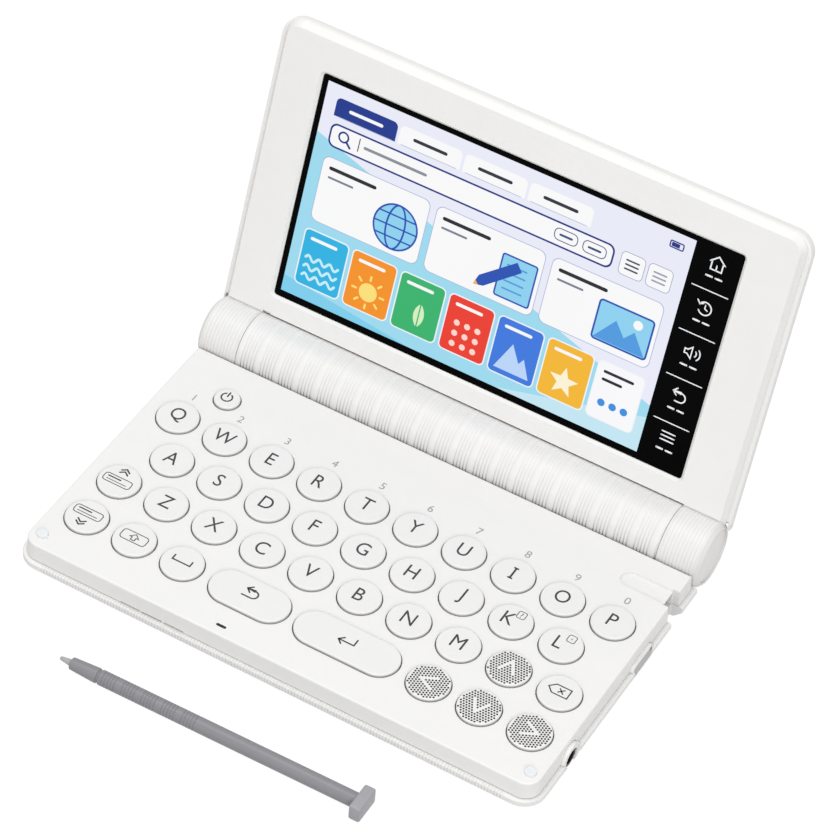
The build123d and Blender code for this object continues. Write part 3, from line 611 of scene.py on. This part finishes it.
def built(name, build, used, place=None):
    """A mesh object out of a finished bmesh, moved to its place, with the finishes used on it."""
    mesh = bpy.data.meshes.new(name)
    build.to_mesh(mesh)
    build.free()
    if place is not None:
        mesh.transform(place)
    for finish in used:
        mesh.materials.append(finish.material)
    return add_object(name, mesh)


def seat(piece, body, smooth=None):
    """Sets a finished piece's shading and body."""
    if smooth is not None:
        piece.data.shade_smooth()
        piece.data.set_sharp_from_angle(angle=math.radians(smooth))
    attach(piece, body)


def on_deck(x, y, z=deck_top):
    """Millimetres on a level face, seen from above."""
    return Matrix.Scale(MM, 4) @ Matrix.Translation(Vector((x, y, z)))


def on_lid():
    """Millimetres across the glass, up the lid and out from the glass."""
    angle = math.radians(lid_open_angle)
    up = Vector((0, -math.cos(angle), math.sin(angle)))
    out = Vector((0, -math.sin(angle), -math.cos(angle)))
    origin = Vector((0, hinge_y, hinge_z)) - out * glass_front
    turned = Matrix((
        (1, 0, 0, 0),
        (0, up.y, out.y, origin.y),
        (0, up.z, out.z, origin.z),
        (0, 0, 0, 1),
    ))
    return Matrix.Scale(MM, 4) @ turned


# --- Ribs round the barrel ---
def ring_tree(finish):
    """A closed band with rounded edges, one on each point, as wide as the point says."""
    grower = Grower(
        "ring_bands", Radius="Float", Thickness="Float", Start="Float", Sweep="Float", Steps="Int", Open="Bool"
    )
    arc = grower.node("GeometryNodeCurveArc", {"mode": "RADIUS"}, {
        "Resolution": grower.given("Steps"), "Radius": grower.given("Radius"),
        "Start Angle": grower.given("Start"), "Sweep Angle": grower.given("Sweep"),
    })
    section = grower.node("GeometryNodeCurvePrimitiveQuadrilateral", {"mode": "RECTANGLE"}, {
        "Width": grower.given("Thickness"), "Height": MM,
    })
    soft = grower.node("GeometryNodeFilletCurve", {}, {"Curve": section, "Radius": 0.06 * MM, "Limit Radius": True})
    band = grower.node("GeometryNodeCurveToMesh", {}, {
        "Curve": arc, "Profile Curve": soft, "Fill Caps": grower.given("Open"),
    })
    whole = grower.node("GeometryNodeMergeByDistance", {}, {"Geometry": band, "Distance": 1e-6})
    turned = grower.node("GeometryNodeTransform", {}, {
        "Geometry": whole, "Rotation": (math.pi / 2, 0, math.pi / 2),
    })
    width = grower.node("GeometryNodeInputNamedAttribute", {"data_type": "FLOAT"}, {"Name": "band_width"})
    scale = grower.node("ShaderNodeCombineXYZ", {}, {0: width, 1: 1.0, 2: 1.0})
    grower.spread(turned, finish, Scale=scale)
    return grower


def barrel_bands():
    """Centres and widths of the raised bands: four narrow ones between five grooves, then a wide one."""
    groove, fine_step, group_step, first_groove, reach = 0.3, 0.91, 5.77, -59.9, barrel_half - 0.1
    wide_step = group_step - 4 * fine_step
    bands = []
    for group in range(-1, 22):
        left = first_groove + group * group_step
        for number in range(4):
            bands.append((left + (number + 0.5) * fine_step, fine_step - groove))
        bands.append((left + 4 * fine_step + wide_step / 2, wide_step - groove))
    spans = [(max(x - w / 2, -reach), min(x + w / 2, reach)) for x, w in bands]
    return [((low + high) / 2, high - low) for low, high in spans if high - low > groove]


def make_rings():
    """Raised bands on the barrel, its battery door and the lid's knuckles. Angles run from the back, upwards."""
    rise, sunk, offset = 0.1, 0.25, -0.07
    door_low, door_high, clear = -7.0, 1.5, 0.8
    knuckle_start, knuckle_step, knuckle_width, knuckle_rise = 62.97, 0.95, 0.62, 0.09
    # The barrel's ribs get the full painted shade, the lid's knuckle ribs 0.6 of it.
    barrel_tree = ring_tree(rib_finish("rib_satin_white", 1.0))
    lid_tree = ring_tree(rib_finish("knuckle_satin_white", 0.6))
    low = math.degrees(math.asin(door_low / barrel_radius))
    high = math.degrees(math.asin(door_high / barrel_radius))

    def rings(name, body, bands, start, sweep, steps, rise=rise):
        tree = lid_tree if body == "lid" else barrel_tree
        ring = tree.grow(name, [(x, hinge_y + offset, hinge_z + offset) for x, _ in bands], {
            "Radius": (barrel_radius + (rise - sunk) / 2) * MM, "Thickness": (rise + sunk) * MM,
            "Start": math.radians(start), "Sweep": math.radians(sweep), "Steps": steps, "Open": sweep != 360.0,
        }, [w for _, w in bands])
        seat(ring, body, 40)

    bands = barrel_bands()
    middle = [b for b in bands if abs(b[0]) + b[1] / 2 < door_half - 0.3]
    ends = [b for b in bands if b not in middle]
    rings("barrel_rings", "case", middle, high + clear, 360 - (high - low) - 2 * clear, 80)
    rings("barrel_end_rings", "case", ends, 0, 360.0, 96)
    rings("door_rings", "battery_door", middle, low + 2 * clear, high - low - 4 * clear, 18)
    knuckle = [(s * (knuckle_start + knuckle_step * n), knuckle_width) for s in (-1, 1) for n in range(10)]
    rings("knuckle_rings", "lid", knuckle, 0, 360.0, 96, knuckle_rise)


# --- Lip ribs, screws and dots ---
def make_lip_ribs():
    """Fine ribs over the front lip, each along the same bent path."""
    count, radius = 154, 0.13
    grower = Grower("lip_ribs", Count="Int", Pitch="Vector", Radius="Float")
    starts = grower.node("GeometryNodeMeshLine", {}, {"Count": grower.given("Count"), "Offset": grower.given("Pitch")})
    bends = [(1.05, 4.0), (0.45, 4.0), (0.12, 3.86), (0, 3.5), (0, 2.4)]
    points = [(0, (lip_front + inwards) * MM, height * MM) for inwards, height in bends]
    path = grower.joined([
        grower.node("GeometryNodeMeshLine", {"mode": "END_POINTS"}, {"Count": 2, 2: first, 3: second})
        for first, second in zip(points, points[1:])
    ])
    welded = grower.node("GeometryNodeMergeByDistance", {}, {"Geometry": path, "Distance": 1e-5})
    curve = grower.node("GeometryNodeMeshToCurve", {}, {0: welded})
    profile = grower.node("GeometryNodeCurvePrimitiveCircle", {}, {"Resolution": 6, "Radius": grower.given("Radius")})
    rib = grower.node("GeometryNodeCurveToMesh", {}, {"Curve": curve, "Profile Curve": profile, "Fill Caps": True})
    grower.spread(rib, finishes["case_plastic"], starts)
    piece = grower.grow("lip_ribs", [(0, 0, 0)], {
        "Count": count, "Pitch": Vector((lip_rib_pitch * MM, 0, 0)), "Radius": radius * MM,
    })
    piece.data.transform(Matrix.Translation(Vector((-lip_rib_pitch * (count - 1) / 2 * MM, 0, 0))))
    seat(piece, "case", 50)


def make_screw_cross_shade():
    """A black cross on the head of each screw under the case, painted as the shade of its cross recess."""
    grower = Grower("screw_cross_shade", Length="Float", Width="Float", Depth="Float")
    bars = []
    for first, second in (("Length", "Width"), ("Width", "Length")):
        size = grower.node("ShaderNodeCombineXYZ", {}, {
            0: grower.given(first), 1: grower.given(second), 2: grower.given("Depth"),
        })
        bars.append(grower.node("GeometryNodeMeshCube", {}, {"Size": size}))
    grower.spread(grower.joined(bars), finishes["black_plastic"])
    right_side = [(68.25, 1.8), (66.05, 37.65), (30.0, 37.65), (50.0, -36.25)]
    places = [(side * x, y, 0.1) for x, y in right_side for side in (-1, 1)]
    piece = grower.grow("screw_cross_shade", places, {"Length": 2.1 * MM, "Width": 0.45 * MM, "Depth": 0.04 * MM})
    seat(piece, "case")


def make_dots():
    """Round dots in a honeycomb over the arrow keys, left out along a chevron."""
    column_step, row_step, field, flat_top, offset = 0.765, 0.717, 5.3, 5.12, Vector((-0.15, 0.2))
    tip_row, chevron_rows, lift = 3, 5, 0.008
    grower = Grower("key_dots", Radius="Float", Height="Float", Sides="Int")
    dot = grower.node("GeometryNodeMeshCylinder", {"fill_type": "NGON"}, {
        "Vertices": grower.given("Sides"), "Side Segments": 1,
        "Radius": grower.given("Radius"), "Depth": grower.given("Height"),
    })
    grower.spread(dot, dot_ink)
    for name, turn in (("right", 0), ("up", 90), ("left", 180), ("down", 270)):
        way = Matrix.Rotation(math.radians(turn), 2)
        points = []
        for row in range(-4, 11):
            for column in range(-8, 9):
                spot = Vector(((tip_row - row) * row_step, (column + 0.5 * (row % 2)) * column_step))
                chevron = 0 <= row <= chevron_rows and abs(abs(spot.y) - row * column_step / 2) < 0.1
                place = way @ spot + offset
                if spot.length < field and place.length < flat_top and not chevron:
                    x, y = Vector(key_place[name]) + place
                    points.append((x, y, key_face + lift))
        piece = grower.grow(f"dots_{name}", points, {"Radius": 0.28 * MM, "Height": 0.02 * MM, "Sides": 10})
        seat(piece, f"key_{name}")


# --- Legends ---
def legend(name):
    x, y = key_place[name]
    aside, up = -0.3, 0.42
    return Piece(f"legend_{name}", f"key_{name}", ink, "key_cap", on_deck(x + aside, y + up, key_face))


def make_letters():
    capital, narrowing, marks = 4.1, 0.89, {"k": ("?", 1.5), "l": ("*", 0.9)}
    for letter in "".join(letters for letters, _, _ in letter_rows):
        piece = legend(letter)
        piece.words(letter.upper(), -0.65 if letter in marks else 0.0, 0.0, capital, narrowing)
        if letter == "i":
            for y in (-1.82, 1.82):
                piece.line([(-0.5, y), (0.5, y)], 0.46)
        if letter in marks:
            mark, size = marks[letter]
            piece.line(rounded(0.6, 1.35, 2.75, 3.7, 0.45), 0.2, closed=True)
            piece.words(mark, 1.68, 2.5, size)
        piece.done()


def make_pictograms():
    """Line drawings on the keys that have no letter: points, width, and whether the line closes."""
    bold, plain, thin = 0.42, 0.34, 0.24
    drawings = {}
    for name, way in (("previous", 1), ("next", -1)):
        middle = -0.75 * way
        drawings[name] = [
            (rounded(-3.9, middle - 1.35, 3.9, middle + 1.35, 0.8), thin, True),
            ([(-2.9, middle + 0.5), (0.6, middle + 0.5)], 0.4, False),
            ([(-2.9, middle - 0.5), (2.7, middle - 0.5)], 0.22, False),
        ] + [([(-1.15, way * y), (0, way * (y + 0.85)), (1.15, way * y)], bold, False) for y in (2.05, 3.0)]
    arrow = [(-0.55, -1.0), (-0.55, -0.05), (-1.25, -0.05), (0, 1.1), (1.25, -0.05), (0.55, -0.05), (0.55, -1.0)]
    drawings["shift"] = [(rounded(-3.6, -1.6, 3.6, 1.6, 0.9), thin, True), (arrow, 0.26, True)]
    drawings["space"] = [([(-2.5, 0.9), (-2.5, -0.6), (2.5, -0.6), (2.5, 0.9)], bold, False)]
    drawings["back"] = [
        ([(-1.2, 1.35), (1.0, 1.35)] + circle(1.0, 0.1, 1.25, 10, 90, -180) + [(-1.6, -1.15)], bold, False),
        ([(-0.2, 2.4), (-1.35, 1.35), (-0.2, 0.3)], bold, False),
    ]
    drawings["enter"] = [
        ([(2.2, 1.5), (2.2, -0.5), (-2.0, -0.5)], bold, False),
        ([(-0.9, 0.6), (-2.1, -0.5), (-0.9, -1.6)], bold, False),
    ]
    drawings["delete"] = [
        ([(-2.9, 0), (-1.4, 1.5), (2.7, 1.5), (2.7, -1.5), (-1.4, -1.5)], plain, True),
        ([(-0.1, 0.65), (1.2, -0.65)], plain, False),
        ([(-0.1, -0.65), (1.2, 0.65)], plain, False),
    ]
    drawings["power"] = [(circle(0, -0.1, 1.45, 22, 122, 296), bold, False), ([(0, 0.2), (0, 1.75)], bold, False)]
    for name, lines in drawings.items():
        piece = legend(name)
        for points, width, closed in lines:
            piece.line(points, width, closed=closed)
        piece.done()


def make_numerals():
    piece = Piece("deck_numerals", "case", pale_ink, "case_plastic", on_deck(0, 0))
    aside, above, height = -0.45, 8.7, 2.3
    for number, letter in enumerate("qwertyuiop"):
        x, y = key_place[letter]
        piece.words(str((number + 1) % 10), x + aside, y + above, height)
    piece.done()


def make_slot_shade_sheets():
    """Black sheets in the microphone slot and behind the sound slots, put there as painted shade inside the slots."""
    piece = Piece("slot_shade_sheets", "case", finishes["black_plastic"], "black_plastic", on_deck(0, 0, 0))
    slot_floor, proud = 8.6, 0.02
    piece.plate(rounded(-17.5, -38.4, -14.7, -37.6, 0.39), slot_floor, deck_top + proud)
    half, front, back, low, high = 2.7, -40.85, -40.75, 4.27, 4.54
    for x in (-40.2, -33.9, -27.6):
        piece.plate([(x - half, front), (x + half, front), (x + half, back), (x - half, back)], low, high)
    piece.done()


def make_nail_shade_patch():
    """A black patch at the rear top corner of the side cover, painted as the shade inside the notch for a fingernail.
    """
    aside = Matrix(((0, 0, 1, 0), (1, 0, 0, 0), (0, 1, 0, 0), (0, 0, 0, 1)))
    piece = Piece("nail_shade_patch", "side_cover", finishes["black_plastic"], "black_plastic", Matrix.Scale(MM, 4) @ aside)
    inner, outer = 73.4, 73.47
    piece.plate(rounded(17.45, 3.95, 18.13, 5.05, 0.3), inner, outer)
    piece.done()


# --- Picture on the display ---
navy = paint("1b2f86")
deep_blue = paint("17358f")
white_glow = (0.97, 0.97, 0.98, 1)
dark_grey = paint("23262f")
margin = -55.0


def make_picture():
    """The picture in levels: what lies over something else is a hair thicker."""
    piece = Piece("display_picture", "lid", picture_finish, "display_glass", on_lid())
    level_step = 0.012

    def flat(outline, level, tint):
        piece.plate(outline, 0.0, print_height + level_step * level, tint)

    def stroke(points, width, level, tint, closed=False):
        piece.line(points, width, 0.0, print_height + level_step * level, tint, closed)

    def box(left, low, right, high, radius, level, tint):
        flat(rounded(left, low, right, high, radius), level, tint)

    left, right, low, high = -58.4, 45.9, 16.9, 77.8
    flat([(left, low), (right, low), (right, high), (left, high)], 0, paint("9fdcf2"))
    flat([(left, 63.5), (right, 30.5), (right, high), (left, high)], 1, paint("eceefb"))
    flat([(left, 21.5), (-20, low), (left, low)], 1, paint("7fd0ef"))
    flat([(right, low), (right, 27.0), (5.0, low)], 1, paint("c6e9f6"))
    # tabs
    tab_pitch, tab_width, tab_low, tab_high = 18.6, 17.8, 69.4, 74.6
    for number in range(4):
        start = margin + tab_pitch * number
        ground_tone, bar_tone = (deep_blue, white_glow) if number == 0 else (white_glow, paint("2c2f3c"))
        flat(rounded(start, tab_low, start + tab_width, tab_high, 1.4, True), 2, ground_tone)
        stroke([(start + 4.4, 72.0), (start + 13.4, 72.0)], 0.9, 3, bar_tone)
        stroke([(start + 1.0, tab_low), (start + tab_width - 1.0, tab_low)], 0.2, 3, paint("b7bfd8"))
    # battery level
    stroke(rounded(39.6, 73.6, 43.2, 75.3, 0.3), 0.35, 2, navy, True)
    box(40.0, 73.9, 42.2, 75.0, 0.1, 3, navy)
    # field with a magnifier, and two round buttons beside it
    box(margin, 60.9, 26.5, 67.6, 2.0, 2, navy)
    box(margin + 0.5, 61.4, 26.0, 67.1, 1.6, 3, white_glow)
    stroke(circle(-50.9, 64.7, 1.35, 18), 0.5, 4, navy, True)
    stroke([(-49.9, 63.7), (-48.7, 62.5)], 0.6, 4, navy)
    stroke([(-46.4, 62.7), (-46.4, 66.2)], 0.28, 4, paint("30343f"))
    stroke([(-44.6, 64.3), (-27.0, 64.3)], 0.8, 4, paint("8b8f98"))
    for start in (10.0, 18.0):
        stroke(rounded(start, 62.7, start + 6.4, 65.9, 1.3), 0.25, 4, paint("3d4a80"), True)
        stroke([(start + 1.6, 64.3), (start + 4.8, 64.3)], 0.6, 5, paint("3d4a80"))
    for start, tone in ((28.4, paint("3c4258")), (36.0, paint("9aa0b2"))):
        button = (start, 61.1, start + 6.6, 67.4, 1.2)
        box(*button, 2, white_glow)
        stroke(rounded(*button), 0.18, 3, paint("9aa5c4"), True)
        for y in (65.4, 64.2, 63.0):
            stroke([(start + 1.6, y), (start + 5.0, y)], 0.45, 4, tone)
    make_cards(flat, stroke, box)
    make_tiles(flat, stroke, box)
    piece.done()


def make_cards(flat, stroke, box):
    """Three white cards with simple blue drawings: a globe, a pencil on paper and a framed hill."""
    blue, mid, light = paint("2450b4"), paint("4f9be0"), paint("8fd3f3")
    pitch, width, low, high = 33.2, 31.4, 39.4, 58.2
    for number in range(3):
        start = margin + pitch * number
        box(start, low, start + width, high, 2.0, 2, paint("aab8dc"))
        box(start + 0.2, low + 0.2, start + width - 0.2, high - 0.2, 1.9, 3, white_glow)
        stroke([(start + 2.6, 55.2), (start + 15.5, 55.2)], 1.0, 4, dark_grey)
        stroke([(start + 2.6, 52.6), (start + 9.5, 52.6)], 0.6, 4, paint("7a8092"))
    x, y, globe = -31.6, 47.2, 6.2
    flat(circle(x, y, globe, 40), 4, light)
    for squeeze in (1.0, 0.42):
        oval = [(x + (px - x) * squeeze, py) for px, py in circle(x, y, globe, 36)]
        stroke(oval, 0.5, 5, blue, True)
    for rise, half in ((0.0, globe), (3.1, 5.3), (-3.1, 5.3)):
        stroke([(x - half, y + rise), (x + half, y + rise)], 0.42, 5, blue)
    paper = (-1.6, 41.4, 8.2, 53.2, 0.6)
    box(*paper, 4, light)
    stroke(rounded(*paper), 0.45, 5, blue, True)
    for y in (50.6, 48.4, 46.2, 44.0):
        stroke([(0.2, y), (5.6, y)], 0.45, 5, mid)
    flat([(-7.6, 41.6), (-6.6, 44.6), (2.6, 52.2), (4.4, 50.0), (-4.8, 42.2)], 6, blue)
    flat([(-7.6, 41.6), (-7.2, 43.0), (-6.2, 41.9)], 7, paint("f3b53c"))
    view = (26.2, 41.6, 41.4, 52.6, 0.9)
    box(*view, 4, light)
    flat([(26.6, 42.0), (31.6, 48.6), (34.6, 44.9), (37.0, 47.6), (41.0, 42.0)], 5, mid)
    flat(circle(37.4, 49.8, 1.3, 20), 5, white_glow)
    stroke(rounded(*view), 0.5, 6, blue, True)


def make_tiles(flat, stroke, box):
    """Seven small colour tiles with plain motifs."""
    tones = ["28b4e4", "f7921e", "35b56e", "ee3b2b", "3c79e0", "f6b92f", "fbfbfd"]
    width, pitch, low, high, rim = 12.6, 14.25, 21.0, 36.6, 0.35
    sunny = paint("ffe27a")
    for number, tone in enumerate(tones):
        start = -55.2 + pitch * number
        middle = start + width / 2
        box(start - rim, low - rim, start + width + rim, high + rim, 1.5, 2, paint("f4f7fb"))
        box(start, low, start + width, high, 1.2, 3, paint(tone))
        if number != 6:
            stroke([(start + 2.2, high - 2.2), (start + width - 3.4, high - 2.2)], 0.9, 4, white_glow)
        if number == 0:
            for y in (23.6, 26.2, 28.8):
                wave = [(start + 1.5 + 0.4 * i, y + 0.7 * math.sin(0.8 * i)) for i in range(25)]
                stroke(wave, 0.7, 4, paint("c9f0fb"))
        if number == 1:
            flat(circle(middle, 26.6, 2.6, 26), 4, sunny)
            for inner, outer in zip(circle(middle, 26.6, 3.5, 8), circle(middle, 26.6, 4.6, 8)):
                stroke([inner, outer], 0.6, 4, sunny)
        if number == 2:
            leaf = circle(middle - 2.4, 26.6, 4.6, 12, -42, 84) + circle(middle + 3.8, 26.6, 4.6, 12, 138, 84)
            flat(leaf, 4, paint("d8f3c2"))
            stroke([(middle + 0.7, 22.6), (middle + 0.7, 30.0)], 0.35, 5, paint("35b56e"))
        if number == 3:
            for dy in (3, 0, -3):
                for dx in (-3, 0, 3):
                    flat(circle(middle + dx, 26.4 + dy, 0.85, 14), 4, paint("ffd9cf"))
        if number == 4:
            ridge = [(1.4, 22.4), (5.2, 30.4), (7.8, 25.8), (9.0, 27.6), (11.4, 22.4)]
            flat([(start + x, y) for x, y in ridge], 4, paint("bcd8fb"))
        if number == 5:
            star = []
            for spike in range(10):
                reach = 4.2 if spike % 2 == 0 else 1.8
                turn = math.radians(90 + 36 * spike)
                star.append((middle + reach * math.cos(turn), 26.4 + reach * math.sin(turn)))
            flat(star, 4, paint("fff6d8"))
        if number == 6:
            for below, end in ((2.4, 9.8), (4.6, 7.0)):
                stroke([(start + 2.0, high - below), (start + end, high - below)], 0.8, 4, dark_grey)
            for dx in (-3.2, 0, 3.2):
                flat(circle(middle + dx, 25.6, 1.05, 16), 4, paint("3c8fe0"))


def make_strip():
    """White line icons on the touch strip beside the picture: house, clock, loudspeaker, way back and list."""
    piece = Piece("touch_strip_icons", "lid", strip_ink, "display_glass", on_lid())
    x, bold, thin = 52.6, 0.36, 0.34
    for y in (66.6, 53.95, 41.1, 28.3):
        piece.line([(x - 4.9, y), (x + 4.9, y)], 0.28)

    def draw(points, y, width, closed=False):
        piece.line([(x + dx, y + dy) for dx, dy in points], width, closed=closed)

    house, clock, speaker, way_back, menu = 74.25, 61.6, 48.9, 36.4, 24.4
    draw([(-2.0, 0.2), (0, 1.9), (2.0, 0.2)], house, bold)
    draw([(-1.5, 0.4), (-1.5, -1.9), (1.5, -1.9), (1.5, 0.4)], house, bold)
    draw([(0, -1.9), (0, -0.6)], house, bold)
    draw(circle(0, 0, 1.75, 20, 150, -300), clock, bold)
    draw([(-2.3, 1.7), (-1.55, 0.8), (-0.6, 1.3)], clock, bold)
    draw([(0, 1.0), (0, 0), (0.8, -0.4)], clock, 0.32)
    horn = [(-2.0, -0.6), (-2.0, 0.6), (-1.2, 0.6), (-0.1, 1.6), (-0.1, -1.6), (-1.2, -0.6)]
    draw(horn, speaker, thin, True)
    draw(circle(0.2, 0, 1.0, 8, -45, 90), speaker, thin)
    draw(circle(0.2, 0, 2.0, 10, -45, 90), speaker, thin)
    draw([(-1.8, 0.9), (0.4, 0.9)] + circle(0.4, -0.4, 1.3, 10, 90, -180) + [(-0.9, -1.7)], way_back, bold)
    draw([(-0.9, 1.9), (-1.9, 0.9), (-0.9, -0.1)], way_back, bold)
    for rise in (-1.15, 0, 1.15):
        draw([(-1.8, rise), (1.8, rise)], menu, bold)
    for y in (70.4, 57.8, 45.1, 32.4, 20.6):
        for start in (-2.1, 0.5):
            draw([(start, 0), (start + 1.6, 0)], y, 0.5)
    piece.done()


# --- Stylus ---
def make_stylus():
    """A lathed pen with fine grooves round its grip, and the T-shaped head on its end."""
    start, sleeve_end, head_start, head_end, head_width, head_height = -46.6, -35.9, 36.5, 39.6, 8.1, 4.8
    shaft_radius, grip_start, grip_end, groove_step, plain_step = 2.0, 12.6, 40.6, 0.86, 1.35
    slope = math.atan((head_height / 2 - shaft_radius) / (head_start - sleeve_end))
    rest = Matrix.Translation(Vector((sleeve_end, stylus_y, ground)))
    tilt = Matrix.Rotation(math.radians(0.6), 4, "Z") @ Matrix.Rotation(-slope, 4, "Y")
    lying = Matrix.Scale(MM, 4) @ rest @ tilt @ rest.inverted()
    nib = [(0.0, 0.0), (0.12, 0.3), (0.35, 0.5), (3.3, 0.9)]
    sleeve = [(3.3, 1.35), (3.5, 1.6), (10.5, 1.98), (10.75, 1.98), (10.95, 1.9)]
    collar = [(11.1, 1.62), (11.5, 1.62), (11.65, 1.9), (11.85, shaft_radius)]
    groove = [(0, shaft_radius), (0.12, 1.86), (0.28, 1.86), (0.4, shaft_radius)]
    profile = nib + sleeve + collar
    place = grip_start
    while place < grip_end:
        for number in range(5):
            profile += [(place + along, radius) for along, radius in groove]
            place += groove_step
        place += plain_step
    profile += [(head_start - start, shaft_radius), (head_start - start, 0.0)]
    build = bmesh.new()
    steps = 40
    rings = []
    for along, radius in profile:
        spots = circle(0, 0, radius, steps) if radius else [(0, 0)]
        rings.append([build.verts.new((along, y, z)) for y, z in spots])
    for number, (first, second) in enumerate(zip(rings, rings[1:])):
        for i in range(steps):
            j = (i + 1) % steps
            corners = [first[i % len(first)], second[i % len(second)], second[j % len(second)], first[j % len(first)]]
            face = build.faces.new(list(dict.fromkeys(corners)))
            face.material_index = 1 if number < len(nib) - 1 else 0
    bmesh.ops.recalc_face_normals(build, faces=build.faces)
    used = [finishes["stylus_plastic"], satin_plastic("nib_pale_grey", (0.42, 0.42, 0.43, 1), 0.45, grain=0.2)]
    shaft = built("stylus_shaft", build, used, lying @ Matrix.Translation(Vector((start, stylus_y, stylus_z))))
    seat(shaft, "stylus", 35)
    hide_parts("stylus")
    head = bmesh.new()
    bmesh.ops.create_cube(head, size=1.0, matrix=Matrix.Diagonal((head_end - head_start, head_width, head_height, 1)))
    bmesh.ops.bevel(head, geom=list(head.edges), offset=0.6, segments=4, profile=0.5, affect="EDGES")
    grey = satin_plastic("stylus_head_grey", (0.35, 0.347, 0.37, 1), 0.4, grain=0.18, depth=0.01)
    place = lying @ Matrix.Translation(Vector(((head_start + head_end) / 2, stylus_y, stylus_z)))
    seat(built("stylus_head", head, [grey], place), "stylus", 35)


# --- Studio ---
def seen_straight(maker):
    """1 for what the camera sees, even mirrored or through glass, and 0 for light that falls on the object."""
    path = maker.tree.nodes.new("ShaderNodeLightPath")
    kinds = ("Camera", "Glossy", "Transmission")
    camera, mirrored, through = [Wire(maker, path.outputs[f"Is {kind} Ray"]) for kind in kinds]
    return camera + mirrored + through > 0.5


def make_studio():
    world = bpy.data.worlds.new("studio")
    bpy.context.scene.world = world
    world.use_nodes = True
    maker = NodeMaker()
    maker.use(world.node_tree)
    world.node_tree.nodes.clear()
    soft = maker.node("ShaderNodeBackground", {}, {"Color": plain_tint, "Strength": 0.74})
    plain = maker.node("ShaderNodeBackground", {}, {"Color": plain_tint, "Strength": 1.0})
    mixed = maker.node("ShaderNodeMixShader", {}, {0: seen_straight(maker), 1: soft, 2: plain})
    out = world.node_tree.nodes.new("ShaderNodeOutputWorld")
    maker.feed(out.inputs[0], mixed)

    mesh = bpy.data.meshes.new("floor")
    reach = 2.5
    corners = [(-reach, -reach, 0), (reach, -reach, 0), (reach, reach, 0), (-reach, reach, 0)]
    mesh.from_pydata(corners, [], [(0, 1, 2, 3)])
    mesh.transform(Matrix.Translation(Vector((0, 0, (ground - 0.01) * MM))))
    floor = add_object("floor", mesh)
    finish = Finish("floor_white", Base_Color=(0.5, 0.5, 0.5, 1), Roughness=0.9, Specular_IOR_Level=0.0)
    glow_share = seen_straight(finish) * 0.85
    glow = finish.node("ShaderNodeEmission", {}, {"Color": plain_tint, "Strength": 1.12})
    matt = Wire(finish, finish.shader.outputs[0])
    mixed = finish.node("ShaderNodeMixShader", {}, {0: glow_share, 1: matt, 2: glow})
    finish.feed(finish.tree.nodes["Material Output"].inputs[0], mixed)
    mesh.materials.append(finish.material)

    def lamp(name, place, target, size, power):
        light = bpy.data.lights.new(name, "AREA")
        light.shape = "DISK"
        light.size = size
        light.energy = power
        turn = (Vector(target) - Vector(place)).to_track_quat("-Z", "Y").to_matrix().to_4x4()
        add_object(name, light).matrix_world = Matrix.Translation(Vector(place)) @ turn

    lamp("top_lamp", (-0.35, -0.1, 1.3), (0, 0.0, 0.02), 0.7, 4.6)
    lamp("side_lamp", (0.75, -0.9, 0.7), (0, 0.0, 0.03), 0.7, 6.0)

    camera = bpy.data.cameras.new("studio_camera")
    camera.lens = 175.1844
    camera.sensor_width = 36.0
    camera.clip_start = 0.05
    holder = add_object("studio_camera", camera)
    holder.matrix_world = Matrix((
        (0.86336688, -0.39935903, 0.30839908, 0.31127),
        (0.49946596, 0.58963938, -0.63471187, -0.61361),
        (0.07163368, 0.70202405, 0.70854135, 0.75001),
        (0, 0, 0, 1),
    ))
    bpy.context.scene.camera = holder
    bpy.context.scene.view_settings.view_transform = "Standard"


make_rings()
make_lip_ribs()
make_screw_cross_shade()
make_dots()
make_letters()
make_pictograms()
make_numerals()
make_slot_shade_sheets()
make_nail_shade_patch()
make_picture()
make_strip()
make_stylus()
make_studio()
